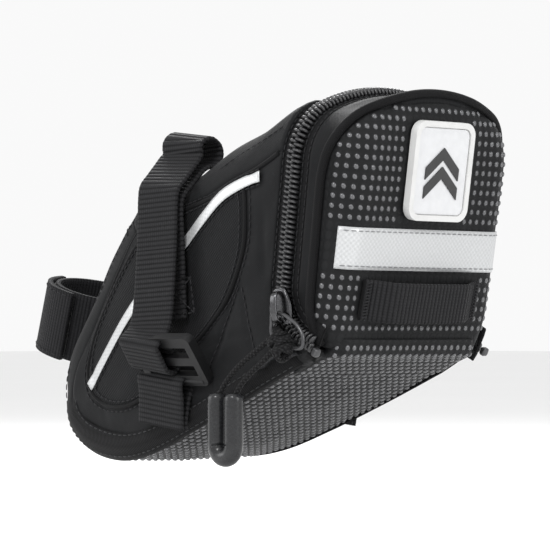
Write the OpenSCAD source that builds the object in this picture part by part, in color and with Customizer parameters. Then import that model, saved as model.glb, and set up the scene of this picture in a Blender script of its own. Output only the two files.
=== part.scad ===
// Wedge saddle bag that hangs from the two saddle rails and is strapped to the seatpost.
// +X points to the rear of the bicycle, +Y to its right-hand side, +Z up.
// The origin is midway between the saddle rails, where the two rail straps cross them.

/* [Bag] */
// Angle by which the bag droops to the rear, in degrees
bag_pitch = 7; // [0:1:12]
// Half width of the bag at the zip
half_w = 35.5; // [33:0.5:38]
// Half width of the bag under the rails
mid_half_w = 31.5; // [30:0.5:33]
// Thickness of the padded fabric panels
panel_t = 2.2; // [1.6:0.2:3]
// Radius of the upper corners of the rear opening
arch_r = 17; // [14:1:20]
// Radius of the crowned top edge of the rear opening
crown_r = 64; // [56:1:90]
// Height of the top of the rear opening over the rails
arch_top = 22.8; // [20:0.2:25]

/* [Zip] */
// Where the zip stands along the bag
zip_x = 57.5; // [56:0.5:59]
// Width of one row of teeth
teeth_w = 2.6; // [2:0.2:3]
// How far the teeth stand out of the tape
teeth_h = 2.4; // [2:0.2:3]
// Visible width of each tape beside its teeth
tape_w = 3; // [2:0.5:4]
// Radius of the bend at the foot of the zip
tail_r = 16; // [14:0.5:18]
// Height at which the bend at the foot of the zip starts
tail_z = -34; // [-36:1:-32]

/* [Lid] */
// Where the gusset meets the rear panel at the sides
seam_x = 69.5; // [68:0.5:71]
// Diameter of the piping on that seam
piping_d = 2.6; // [2:0.2:3]
// Height of the reflective band
band_h = 13; // [10:1:14]
// Width of the light loop
loop_w = 49; // [44:1:54]
// Height of the light loop
loop_h = 12; // [10:1:14]
// Clear space behind the light loop
loop_gap = 4.6; // [4.4:0.2:6]
// Width of the badge
badge_w = 25; // [20:1:28]
// Height of the badge
badge_h = 29; // [24:1:32]

/* [Straps] */
// Distance between the centres of the saddle rails
rail_gauge = 44; // [43:0.5:45]
// Diameter of a saddle rail
rail_d = 7; // [7:0.1:7.2]
// Width of the rail straps
strap_w = 17; // [16:1:20]
// Thickness of the webbing
strap_t = 1.4; // [1.2:0.1:1.6]
// Width of the webbing tab under each buckle
tab_w = 20; // [18:1:20]
// Diameter of the seatpost
post_d = 27.2; // [27.2:0.1:28.6]
// Angle by which the seatpost leans to the rear, in degrees
post_lean = 16; // [14:1:18]
// Width of the seatpost strap
post_strap_w = 22; // [18:1:24]

/* [Zip pull] */
// Diameter of the pull cord
cord_d = 1.7; // [1.6:0.1:1.8]
// Diameter of the moulded grip
grip_d = 5.6; // [5:0.2:6]

/* [Hidden] */
$fn = 48;
fit = 0.3;

// Side outline from the top of the zip forward, round the nose and back along the bottom:
// x, z, radius of the edge to the side panel, crown.
outline = [[50.5, 19, 16, 3.2], [38, 12, 15, 2.4], [26, 5, 13, 1.4], [13, -3, 12, 0.5],
    [0, -9.5, 12, 0], [-11, -14, 11, 0], [-20, -20, 10, 0], [-30, -34, 11, 0],
    [-40, -52, 12, 0], [-48, -67, 12, 0], [-50, -79, 12, 0], [-45, -90, 11, 0],
    [-33, -96.5, 9, 0], [-16, -97, 7, 0], [0, -92.5, 5, 0], [18, -83.5, 4, 0],
    [38, -72.5, 4, 0], [57, -61.5, 4, 0], [72, -53.5, 4, 0]];
roof_end = 6;
nose_end = 12;
outline_end = len(outline) - 1;
// Rear profile of the lid from the top down: x, z, radius of the edge to the gusset.
rear_profile = [[78.2, 21.6, 1.5], [79.4, 19, 2.5], [80, 15, 5], [80.2, 8, 8], [79.8, -5, 9.5],
    [78.8, -20, 9], [77.6, -33, 8], [76.2, -44, 6], [75.4, -51, 4]];
band_top = -15.5;
hinge_x = 74.5;
hinge_z = -54.5;
side_cut_x = zip_x - teeth_w - tape_w;
lid_tape_x = zip_x + teeth_w + tape_w;
tail_c = [zip_x + tail_r, tail_z];
tail_angle = 250;
tail_run = 5;
side_end = 66;
// How far back the lid gusset reaches above each height: x, z.
gusset_steps = [[71, 4], [72.6, 10], [74.4, 15], [75.7, 18]];
// Rail strap: distances from the middle plane of the bag.
rail_y = rail_gauge / 2;
inner_ply_y = 34.2;
outer_ply_y = inner_ply_y + strap_t + fit;
outer_foot_y = 41;
strap_foot_z = -53;
inner_foot_z = -51;
buckle_x = 10;
buckle_y = 36;
// The rail straps slant to the rear on their way down.
strap_slant = 10;
buckle_z = -69;
buckle_h = 17;
buckle_t = 3;
buckle_tilt = 35;
tab_x = 12;
// The strap round the seatpost: its middle on the post's axis, and how far its arms reach to the nose.
post_c = [-69.5, 0, -52];
arm_low = 14.2;
arm_high = 20.5;
// The slider stands where the zip starts to bend, and leans with it.
slider_x = zip_x + 2.3;
slider_z = -41;
slider_lean = 12;
slider_l = 11;
slider_y = -half_w - teeth_h + 0.8 - fit;
slider_t = 1.3;
ring_wire = 1.2;
ring_y = slider_y - 2.2;
ring_x = slider_x + 0.4;
ring_z = slider_z - 1.7;
// Where the knot sits, and the grip's two legs.
knot_at = [57.2, -41.2, -58.6];
knot_l = 8.6;
knot_lean = 33;
grip_c = [35.6, -42.2, -88];
grip_span = 7;
grip_leg = 15;
// Route of the doubled cord: from the knot down into the grip, round its bend and back to the knot.
cord_route = [[55, -41.8, -60], [51, -42, -63.5], [46, -42.2, -67], [41.5, -42.2, -71], [39.4, -42.2, -75],
    [39.1, -42.2, -80], [39.1, -42.2, -88], [38, -42.2, -90.5], [35.6, -42.2, -91.5], [33.2, -42.2, -90.5],
    [32.1, -42.2, -88], [32.1, -42.2, -80], [32.6, -42.2, -75], [35.5, -42.2, -70], [40.5, -42.2, -65.5],
    [46.5, -42, -61.5], [53, -41.8, -57.5]];

function cat(p, t) = 0.5 * (2 * p[1] + (p[2] - p[0]) * t
    + (2 * p[0] - 5 * p[1] + 4 * p[2] - p[3]) * t * t
    + (3 * p[1] - p[0] - 3 * p[2] + p[3]) * t * t * t);
function at(points, i) = points[max(0, min(len(points) - 1, i))];
// A smooth curve through the points from index a to index b, with n steps between each pair.
function curve(points, a, b, n) = [for (i = [a : b - 1], k = [0 : n - 1])
    cat([at(points, i - 1), points[i], points[i + 1], at(points, i + 2)], k / n),
    points[b]];
function unit(v) = v / norm(v);
function side_w(x) = min(half_w - 0.4, mid_half_w + (half_w - mid_half_w) * x / zip_x);
// Upper half width of the rear opening at a height.
arch_a = half_w - arch_r;
crown_z = arch_top - crown_r;
arch_b = crown_z + sqrt(pow(crown_r - arch_r, 2) - arch_a * arch_a);
arch_t = atan2(arch_a, arch_b - crown_z);
function arch_half(z) = z < arch_b ? half_w
    : z < arch_b + arch_r * cos(arch_t) ? arch_a + sqrt(pow(arch_r, 2) - pow(z - arch_b, 2))
    : sqrt(max(9, pow(crown_r, 2) - pow(z - crown_z, 2)));
// The rear opening's outline in Y and Z, drawn in by d, with its feet at height foot.
function arch(d, foot) = concat([[d - half_w, foot]],
    [for (k = [0 : 6]) let (a = 180 - k * (90 - arch_t) / 6)
        [-arch_a + (arch_r - d) * cos(a), arch_b + (arch_r - d) * sin(a)]],
    [for (k = [1 : 9]) let (a = 90 + arch_t - k * 2 * arch_t / 10)
        [(crown_r - d) * cos(a), crown_z + (crown_r - d) * sin(a)]],
    [for (k = [0 : 6]) let (a = (90 - arch_t) * (6 - k) / 6)
        [arch_a + (arch_r - d) * cos(a), arch_b + (arch_r - d) * sin(a)]],
    [[half_w - d, foot]]);
function turned(list) = [for (i = [len(list) - 1 : -1 : 0]) list[i]];

// Points across a wrapped panel at one station: p is the place in the side view, n its inward
// direction, r the edge radius, w a half width and d how far the surface is drawn in.
function across(p, n, r, w, c, d) = let (e = max(r - d, 0.6), h = w - d)
    concat([for (a = [0 : 30 : 90]) let (q = p + n * (d + e * (1 - sin(a))))
            [q[0], e * (1 - cos(a)) - h, q[1]]],
        [for (f = [-0.5, 0, 0.5]) let (q = p + n * (d - c * (1 - f * f)))
            [q[0], f * (h - e), q[1]]],
        [for (a = [90 : -30 : 0]) let (q = p + n * (d + e * (1 - sin(a))))
            [q[0], h - e * (1 - cos(a)), q[1]]]);
function inward(line, i) = let (t = at(line, i + 1) - at(line, i - 1)) unit([-t[1], t[0]]);
// Inward direction at one station; at the rear end of the roof it turns to point straight down.
function body_inward(full, i, n) = let (turn = min(1, i / (3 * n)))
    unit(turn * inward(full, i) + (1 - turn) * [0, -1]);
function body_rows(a, b, n, d) = let (line = curve(outline, a, b, n), full = curve(outline, 0, outline_end, n))
    [for (i = [0 : len(line) - 1]) let (p = line[i])
        across([p[0], p[1]], body_inward(full, i + a * n, n), p[2], side_w(p[0]), p[3], d)];
function rear_inward(line, i) = let (t = at(line, i + 1) - at(line, i - 1)) unit([t[1], -t[0]]);
function rear_w(z) = z > -38 ? arch_half(z) - 0.2 : half_w - 0.2 - 8 * pow((-38 - z) / 13, 2);
function rear_row(line, i, d) = let (p = line[i])
    across([p[0], p[1]], rear_inward(line, i), p[2], rear_w(p[1]), 0, d);

// A closed slab between two grids of points; the first is the outer face.
module slab(outer, inner) {
    n = len(outer);
    m = len(outer[0]);
    function o(i, j) = i * m + j;
    function s(i, j) = n * m + i * m + j;
    function two(a, b, c, d) = [[a, b, c], [a, c, d]];
    quads = concat(
        [for (i = [0 : n - 2], j = [0 : m - 2]) [o(i, j), o(i + 1, j), o(i + 1, j + 1), o(i, j + 1)]],
        [for (i = [0 : n - 2], j = [0 : m - 2]) [s(i, j), s(i, j + 1), s(i + 1, j + 1), s(i + 1, j)]],
        [for (i = [0 : n - 2]) [o(i + 1, 0), o(i, 0), s(i, 0), s(i + 1, 0)]],
        [for (i = [0 : n - 2]) [o(i, m - 1), o(i + 1, m - 1), s(i + 1, m - 1), s(i, m - 1)]],
        [for (j = [0 : m - 2]) [o(0, j), o(0, j + 1), s(0, j + 1), s(0, j)]],
        [for (j = [0 : m - 2]) [o(n - 1, j + 1), o(n - 1, j), s(n - 1, j), s(n - 1, j + 1)]]);
    polyhedron(concat([for (row = outer) each row], [for (row = inner) each row]),
        [for (q = quads) each two(q[0], q[1], q[2], q[3])]);
}

// A round tube along a line; ref is a direction that the line never follows.
module tube(line, r, sides, ref) {
    n = len(line);
    points = [for (i = [0 : n - 1]) let (t = unit(at(line, i + 1) - at(line, i - 1)),
            u = unit(cross(t, ref)), v = cross(t, u))
        for (k = [0 : sides - 1]) line[i] + r * (cos(360 * k / sides) * u + sin(360 * k / sides) * v)];
    function id(i, k) = i * sides + k % sides;
    polyhedron(points, concat([[for (k = [0 : sides - 1]) k]],
        [for (i = [0 : n - 2], k = [0 : sides - 1], h = [0, 1])
            h == 0 ? [id(i, k), id(i + 1, k), id(i + 1, k + 1)] : [id(i, k), id(i + 1, k + 1), id(i, k + 1)]],
        [[for (k = [sides - 1 : -1 : 0]) id(n - 1, k)]]));
}

module pitched() {
    rotate([0, bag_pitch, 0]) children();
}

// A flat shape drawn in X and Z, extruded from the plane y = y0 to y0 + t.
module upright(y0, t) {
    translate([0, y0 + t, 0]) rotate([90, 0, 0]) linear_extrude(t) children();
}

// A shape drawn in Y and Z, extruded along X from x0 to x1.
module along_x(x0, x1) {
    translate([x0, 0, 0]) rotate([90, 0, 90]) linear_extrude(x1 - x0) children();
}

// A flat piece on the left side panel: its inner face is lift outside the panel's outer face.
module on_side(lift, t) {
    lean = atan((half_w - mid_half_w) / zip_x);
    translate([0, -mid_half_w - lift, 0]) rotate([0, 0, -lean]) upright(-t, t) children();
}

module side_shape(extra) {
    line = curve(outline, 0, outline_end, 2);
    inset = [for (i = [0 : len(line) - 1]) let (p = line[i], n = body_inward(line, i, 2))
        [p[0], p[1]] + n * (p[2] + extra)];
    difference() {
        polygon(inset);
        translate([side_cut_x, tail_z]) square([60, 100]);
        polygon(concat([for (a = [180 : 10 : tail_angle]) tail_c + tail_out(a) * [cos(a), sin(a)]],
            [tail_c + [10, -19], tail_c + [10, 1]]));
        translate([side_end, -110]) square([30, 110]);
    }
}

module side_panel() {
    // The last stretch, below the bend of the zip, stands straight in line with the tapes.
    flare = mid_half_w + (half_w - mid_half_w) * side_cut_x / zip_x;
    color("#26272a") pitched() {
        on_side(-panel_t, panel_t) intersection() {
            side_shape(0.1);
            translate([-60, -110]) square([60 + side_cut_x, 150]);
        }
        upright(-flare, panel_t) intersection() {
            side_shape(0.1);
            translate([side_cut_x - 0.6, -110]) square([30, 150]);
        }
    }
}

inset_outline = [[36, -8], [22, -13], [6, -19], [-8, -27], [-20, -43], [-29, -62], [-30, -74], [-22, -80],
    [-8, -79], [4, -72], [14, -62], [26, -52], [36, -40], [40, -24]];

module inset_shape(d) {
    n = len(inset_outline);
    middle = [4, -46];
    polygon([for (i = [0 : n - 1], k = [0 : 2])
        let (q = cat([for (j = [n - 1 : n + 2]) inset_outline[(i + j) % n]], k / 3))
        q + unit(middle - q) * d]);
}

module inset_panel() {
    color("#1d1e20") pitched() on_side(0.05, 0.5) inset_shape(1.6);
}

module inset_piping() {
    color("#151617") pitched() on_side(0.05, 0.8) difference() {
        inset_shape(0);
        inset_shape(1.4);
    }
}

reflector_line = [[44, -4.5], [36, -7.5], [28, -12], [20, -19.5], [10, -29], [0, -39.5], [-11, -52.5],
    [-20, -64.5], [-28, -76]];

module reflector() {
    line = curve(reflector_line, 0, len(reflector_line) - 1, 3);
    edge = [for (i = [0 : len(line) - 1]) let (t = unit(at(line, i + 1) - at(line, i - 1)))
        [line[i] + [-t[1], t[0]] * 1.6, line[i] - [-t[1], t[0]] * 1.6]];
    color("#d9dcde") pitched() on_side(0.9, 0.25)
        polygon(concat([for (e = edge) e[0]], turned([for (e = edge) e[1]])));
}

module roof_panel() {
    color("#202123") pitched() slab(body_rows(0, roof_end, 2, 0), body_rows(0, roof_end, 2, panel_t));
}

module nose_panel() {
    color("#2a2b2e") pitched()
        slab(body_rows(roof_end, nose_end, 2, 0), body_rows(roof_end, nose_end, 2, panel_t));
}

module bottom_panel() {
    color("#303235") pitched()
        slab(body_rows(nose_end, outline_end, 2, 0), body_rows(nose_end, outline_end, 2, panel_t));
}

module nose_board() {
    rows = function (d) [for (row = body_rows(roof_end + 1, nose_end, 2, d)) [for (j = [3 : 7]) row[j]]];
    color("#8a8d90") pitched() slab(rows(panel_t + 0.1), rows(panel_t + 1.1));
}

module bottom_board() {
    rows = function (d) [for (row = body_rows(nose_end + 1, outline_end - 1, 2, d)) [for (j = [3 : 7]) row[j]]];
    color("#8a8d90") pitched() slab(rows(panel_t + 0.1), rows(panel_t + 1.3));
}

// The binding wraps the lower edge, from the side panel to just under the bottom panel.
module seam_binding() {
    line = curve(outline, nose_end - 1, outline_end, 2);
    full = curve(outline, 0, outline_end, 2);
    rows = function (lift) [for (i = [0 : len(line) - 2])
        let (p = line[i], n = inward(full, i + (nose_end - 1) * 2), row = across([p[0], p[1]], n, p[2],
            side_w(p[0]), 0, -lift), e = n * (p[2] + 1.5))
        [[p[0] + e[0], -side_w(p[0]) - lift, p[1] + e[1]], row[0], row[1], row[2]]];
    color("#1b1c1e") pitched() slab(rows(1), rows(0.25));
}

// Outer radius of the body's tape round the bend at the foot: it narrows towards the bottom seam.
function tail_out(a) = tail_r + teeth_w + 0.9 + (tape_w - 0.9) * max(0, (tail_angle - a) / (tail_angle - 180));
// One row of points for a zip tape or a row of teeth, d inside the side plane, between two radii
// round the foot: up the left side, over the arch and down the right side.
function foot_rows(r0, r1, side, y) = [for (k = [0 : 8])
    let (a = k == 0 ? tail_angle : tail_angle - (k - 1) * 10, run = k == 0 ? tail_run : 0,
        e = [cos(a), sin(a)], f = run * [-e[1], e[0]], out = r1 > 0 ? r1 : tail_out(a) - 0.1,
        p = tail_c + out * e + f, q = tail_c + r0 * e + f)
    [[p[0], side * y, p[1]], [q[0], side * y, q[1]]]];
function zip_rows(r0, r1, d) = let (x1 = tail_c[0] - (r1 > 0 ? r1 : tail_out(180) - 0.1), line = arch(d, tail_z))
    concat(foot_rows(r0, r1, -1, half_w - d),
        [for (i = [1 : len(line) - 2]) let (p = line[i]) [[x1, p[0], p[1]], [tail_c[0] - r0, p[0], p[1]]]],
        turned(foot_rows(r0, r1, 1, half_w - d)));

module body_zip_tape() {
    color("#1a1a1c") pitched() slab(zip_rows(tail_r + 0.2, 0, 0.8), zip_rows(tail_r + 0.2, 0, 2));
}

module body_zip_teeth() {
    r1 = tail_r + teeth_w;
    color("#2b2b2e") pitched() slab(zip_rows(tail_r + 0.15, r1, 0.8 - teeth_h), zip_rows(tail_r + 0.15, r1, 0.8));
}

module lid_zip_tape() {
    r0 = tail_r - teeth_w - tape_w;
    color("#1a1a1c") pitched() slab(zip_rows(r0, tail_r - 0.2, 0.8), zip_rows(r0, tail_r - 0.2, 2));
}

module lid_zip_teeth() {
    r0 = tail_r - teeth_w;
    color("#2b2b2e") pitched() slab(zip_rows(r0, tail_r - 0.15, 0.8 - teeth_h), zip_rows(r0, tail_r - 0.15, 0.8));
}

module zip_stops() {
    color("#9a9da0") pitched() for (side = [-1, 1])
        translate([tail_c[0], side * (half_w + teeth_h / 2 - 0.8), tail_c[1]]) rotate([0, -tail_angle, 0])
            translate([tail_r + teeth_w / 2, 0, tail_run + 1.1]) cube([teeth_w, teeth_h, 2], center = true);
}

module rear_panel() {
    line = curve(rear_profile, 0, len(rear_profile) - 1, 2);
    rows = function (d) [for (i = [0 : len(line) - 1]) rear_row(line, i, d)];
    color("#303235") pitched() slab(turned(rows(0)), turned(rows(panel_t)));
}

module lid_board() {
    line = curve(rear_profile, 1, len(rear_profile) - 2, 2);
    rows = function (d) [for (i = [0 : len(line) - 1]) [for (j = [3 : 7]) rear_row(line, i, d)[j]]];
    color("#8a8d90") pitched() slab(turned(rows(panel_t + 0.1)), turned(rows(panel_t + 1.6)));
}

module gusset_outline() {
    polygon(concat(arch(0.2, tail_z), turned(arch(2, tail_z))));
}

module lid_gusset() {
    color("#222326") pitched() {
        along_x(lid_tape_x + 0.1, seam_x - 0.2) gusset_outline();
        // Towards the top the gusset reaches further back, to the rear panel's upper edge.
        for (step = gusset_steps) along_x(seam_x - 0.3, step[0]) intersection() {
            gusset_outline();
            translate([-half_w, step[1]]) square([2 * half_w, 40]);
        }
        for (side = [-1, 1]) upright(side < 0 ? 0.2 - half_w : half_w - 2, 1.8)
            polygon([[lid_tape_x + 0.1, tail_z + 0.2], [seam_x - 0.2, tail_z + 0.2], [seam_x + 0.6, tail_z - 7.5],
                [seam_x - 0.5, tail_z - 8.4], [seam_x - 3.5, tail_z - 6.2], [lid_tape_x + 0.7, tail_z - 3]]);
    }
}

// The seam line between gusset and rear panel: down the left side, and back along the top.
function seam_point(y, z) = [seam_x + 8.5 * pow(max(0, min(1, (z + 4) / 26)), 1.6), y, z];

module lid_piping() {
    line = [for (p = arch(-1, -44)) seam_point(p[0], p[1])];
    color("#17181a") pitched() tube(line, piping_d / 2, 8, [1, 0, 0]);
}

module reflective_band() {
    line = curve(rear_profile, 0, len(rear_profile) - 1, 3);
    picked = [for (i = [0 : len(line) - 1]) if (line[i][1] < band_top && line[i][1] > band_top - band_h) i];
    rows = function (d) [for (i = picked) [for (j = [1 : 9]) rear_row(line, i, d)[j]]];
    color("#c9cccd") pitched() slab(turned(rows(-1)), turned(rows(-0.2)));
}

// A frame on the rear face: its X points out of the face, which leans by an angle there.
module on_rear(x, z, lean) {
    translate([x, 0, z]) rotate([0, lean, 0]) children();
}

module light_loop() {
    t = strap_t;
    half = loop_w / 2;
    g = loop_gap;
    color("#141415") pitched() on_rear(77.2, -36.5, 6.5) translate([0, 0, -loop_h / 2]) linear_extrude(loop_h)
        polygon([[0.4, -half], [0.4 + t, -half], [g + 0.4 + t, -half + 8], [g + 0.4 + t, half - 8],
            [0.4 + t, half], [0.4, half], [0.4, half - 3.5], [g + 0.4, half - 9],
            [g + 0.4, 9 - half], [0.4, 3.5 - half]]);
}

module rounded(w, h, r) {
    translate([r - w / 2, r - h / 2]) square([w - 2 * r, h - 2 * r]);
    translate([-w / 2, r - h / 2]) square([w, h - 2 * r]);
    translate([r - w / 2, -h / 2]) square([w - 2 * r, h]);
    for (x = [-1, 1], y = [-1, 1]) translate([x * (w / 2 - r), y * (h / 2 - r)]) circle(r);
}

module on_badge(x) {
    on_rear(80.1, 1.5, 1.5) translate([x, 0, 0]) rotate([90, 0, 90]) children();
}

module badge() {
    color("#f2f2f0") pitched() on_badge(0.4) difference() {
        linear_extrude(2.4) rounded(badge_w, badge_h, 4);
        translate([0, 0, 1.6]) linear_extrude(2) rounded(badge_w - 3.4, badge_h - 3.4, 2.6);
    }
}

module badge_plate() {
    color("#d5d7d8") pitched() on_badge(2.05) linear_extrude(0.3) rounded(badge_w - 4, badge_h - 4, 2.2);
}

module badge_mark() {
    color("#101011") pitched() on_badge(2.4) linear_extrude(0.4) {
        for (z = [-5.5, 0]) translate([0, z])
            polygon([[-7, 1], [0, 7], [7, 1], [7, -2.6], [0, 3.4], [-7, -2.6]]);
    }
}

module hinge_strip() {
    color("#1b1c1e") pitched() upright(-27, 54)
        polygon([[hinge_x - 4, hinge_z - 1.6], [hinge_x + 1.8, hinge_z + 1.2], [hinge_x + 1.8, hinge_z + 2.2],
            [hinge_x - 4, hinge_z - 0.6]]);
}

module slider_at() {
    pitched() translate([slider_x, slider_y, slider_z]) rotate([0, -slider_lean, 0]) children();
}

module slider_body() {
    // Seen from outside: wide at the foot and pointed at the top, like a shield.
    color("#b9bcbf") slider_at() rotate([90, 0, 0]) linear_extrude(slider_t)
        polygon([[-2.2, slider_l / 2], [2.2, slider_l / 2], [4.4, 0], [4, -slider_l / 2], [1.4, -slider_l / 2 + 1],
            [0, -slider_l / 2 + 3], [-1.4, -slider_l / 2 + 1], [-4, -slider_l / 2], [-4.4, 0]]);
}

module slider_bail() {
    // A bridge over the slider, open from side to side, with room for the ring's wire.
    color("#c4c7c9") slider_at() translate([-1.1, 0, 0]) rotate([90, 0, 90]) linear_extrude(2.2)
        polygon([[-slider_t - 0.05, -4.6], [-4.1, -3.6], [-4.1, 3.6], [-slider_t - 0.05, 4.6],
            [-slider_t - 0.05, 3.5], [-3.1, 2.8], [-3.1, -2.8], [-slider_t - 0.05, -3.5]]);
}

module pull_ring() {
    // A bent wire ring: its round top bar turns inside the bail, and the rest leans to the rear.
    color("#3a3b3d") pitched() translate([ring_x, ring_y, ring_z]) {
        translate([-2.4, 0, 0]) rotate([0, 90, 0]) cylinder(h = 5, d = ring_wire);
        upright(-ring_wire / 2, ring_wire)
            polygon([[-2.9, 0.5], [-2, 0.5], [-1.2, -5.5], [2.2, -8.9], [10.4, -7.7], [10, -4.9], [7.6, -2.8],
                [2.1, -0.4], [2.1, 0.7], [3, 0.7], [8.4, -1.8], [11.3, -4.3], [11.9, -9], [1.5, -10.2],
                [-2.4, -6.2]]);
    }
}

module pull_knot() {
    color("#151516") translate(knot_at) rotate([0, -knot_lean, 0]) translate([0, 0, -knot_l / 2])
        cylinder(h = knot_l, d = 5);
}

module pull_cord() {
    color("#1a1a1b") tube(curve(cord_route, 0, len(cord_route) - 1, 3), cord_d / 2, 8, [0, 1, 0]);
}

module pull_grip() {
    // A moulded sleeve over the bend of the cord: two legs and a round end.
    bore = cord_d + 0.3;
    color("#2c2d2f") translate(grip_c) {
        for (x = [-1, 1]) translate([x * grip_span / 2, 0, 0]) difference() {
            cylinder(h = grip_leg, d = grip_d);
            translate([0, 0, -1]) cylinder(h = grip_leg + 2, d = bore);
        }
        rotate([-90, 0, 0]) rotate_extrude(angle = 180) translate([grip_span / 2, 0]) difference() {
            circle(d = grip_d);
            circle(d = bore);
        }
    }
}

// Leans its children to the rear, further down by further.
module slanted() {
    multmatrix([[1, 0, -tan(strap_slant), 0], [0, 1, 0, 0], [0, 0, 1, 0]]) children();
}

module rail_strap() {
    ring = rail_d / 2 + 0.1;
    shoulder = -11;
    color("#1c1c1e") {
        translate([-strap_w / 2, -rail_y, 0]) rotate([0, 90, 0]) difference() {
            cylinder(h = strap_w, r = ring + strap_t);
            translate([0, 0, -1]) cylinder(h = strap_w + 2, r = ring);
        }
        // Outer ply, from the rail over the shoulder to the buckle.
        slanted() along_x(-strap_w / 2, strap_w / 2)
            polygon([[-rail_y - ring - strap_t + 0.1, 0.4], [-rail_y - ring - 0.3, 0.4],
                [-rail_y - ring - 0.3, -1], [-outer_ply_y, shoulder - 2],
                [-outer_foot_y, strap_foot_z], [-outer_foot_y - strap_t, strap_foot_z],
                [-outer_ply_y - strap_t, shoulder]]);
        // Inner ply, which is sewn to the side panel.
        slanted() along_x(-strap_w / 2, strap_w / 2)
            polygon([[-rail_y - 0.6, -ring - 0.3], [-rail_y - 0.6, -ring - strap_t + 0.2],
                [-rail_y - 2, -ring - strap_t - 0.3], [-inner_ply_y, shoulder - 4], [-inner_ply_y, inner_foot_z],
                [-inner_ply_y - strap_t, inner_foot_z], [-inner_ply_y - strap_t, shoulder - 2.4],
                [-rail_y - 3, -ring + 0.5]]);
    }
}

module strap_patch() {
    color("#1c1c1e") slanted() along_x(1 - strap_w / 2, strap_w / 2 - 1)
        translate([-inner_ply_y - strap_t - 0.5, -50]) square([0.45, 12]);
}

module buckle() {
    // Ladder lock: two side bars and three cross bars. It leans out from the lower bar, which the tab holds.
    w = 26;
    bar = 2.8;
    color("#17171a") translate([buckle_x, -buckle_y, buckle_z]) rotate([buckle_tilt, 0, 0]) {
        rotate([90, 0, 0]) translate([0, buckle_h / 2 - bar / 2, -buckle_t / 2]) difference() {
            linear_extrude(buckle_t) rounded(w, buckle_h, 2);
            for (z = [-4.9, 1.5]) translate([-w / 2 + bar, z, -1]) cube([w - 2 * bar, 3.6, buckle_t + 2]);
        }
        translate([2 - w / 2, 0, 0]) rotate([0, 90, 0]) cylinder(h = w - 4, d = buckle_t + 0.4);
    }
}

module buckle_tab() {
    // Webbing below the buckle's lower bar, sewn into the bottom seam.
    top = buckle_z - 2.6;
    color("#1c1c1e") along_x(tab_x - tab_w / 2, tab_x + tab_w / 2)
        polygon([[-34.9, top], [-37, top], [-37.3, top - 7], [-36.6, top - 11], [-34.9, top - 11]]);
}

module post_at() {
    translate(post_c) rotate([0, post_lean, 0]) children();
}

module seatpost_strap() {
    // Open to the rear, where its two arms run to the slanting nose of the bag.
    r0 = post_d / 2 + 0.1;
    open = 48;
    h = post_strap_w / 2;
    arm_x = r0 * cos(open) + 0.1;
    arm_y = r0 * sin(open) + 0.35;
    color("#1f2022") post_at() {
        rotate([0, 0, open]) rotate_extrude(angle = 360 - 2 * open)
            translate([r0, -h]) square([strap_t, post_strap_w]);
        for (y = [arm_y, -arm_y - strap_t]) upright(y, strap_t)
            polygon([[arm_x, 0.1 - h], [arm_low, 0.1 - h], [arm_high, h - 0.1], [arm_x, h - 0.1]]);
    }
}

module strap_loop_patch() {
    r0 = post_d / 2 + 0.15 + strap_t;
    color("#2c2d30") post_at() rotate([0, 0, 195]) rotate_extrude(angle = 90)
        translate([r0, 1 - post_strap_w / 2]) square([0.7, post_strap_w - 2]);
}

module strap_flap() {
    r0 = post_d / 2 + 0.35 + strap_t + 0.8;
    color("#232427") post_at() rotate([0, 0, 188]) rotate_extrude(angle = 98)
        translate([r0, -post_strap_w / 2]) square([strap_t + 0.4, post_strap_w]);
}

module mirrored() {
    mirror([0, 1, 0]) children();
}

side_panel();  // left_side_panel
mirrored() side_panel();  // right_side_panel
inset_panel();  // left_inset_panel
mirrored() inset_panel();  // right_inset_panel
inset_piping();  // left_inset_piping
mirrored() inset_piping();  // right_inset_piping
reflector();  // left_reflector
mirrored() reflector();  // right_reflector
roof_panel();
nose_panel();
bottom_panel();
seam_binding();  // left_seam_binding
mirrored() seam_binding();  // right_seam_binding
nose_board();
bottom_board();
body_zip_tape();
body_zip_teeth();
zip_stops();
rear_panel();
lid_gusset();
lid_piping();
lid_zip_tape();
lid_zip_teeth();
lid_board();
reflective_band();
light_loop();
badge();
badge_plate();
badge_mark();
hinge_strip();
slider_body();
slider_bail();
pull_ring();
pull_cord();
pull_knot();
pull_grip();
rail_strap();  // left_rail_strap
mirrored() rail_strap();  // right_rail_strap
strap_patch();  // left_strap_patch
mirrored() strap_patch();  // right_strap_patch
buckle();  // left_buckle
mirrored() buckle();  // right_buckle
buckle_tab();  // left_buckle_tab
mirrored() buckle_tab();  // right_buckle_tab
seatpost_strap();
strap_loop_patch();
strap_flap();
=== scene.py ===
import math

import bmesh
import bpy
import numpy as np
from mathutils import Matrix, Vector
from mathutils.bvhtree import BVHTree

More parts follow.
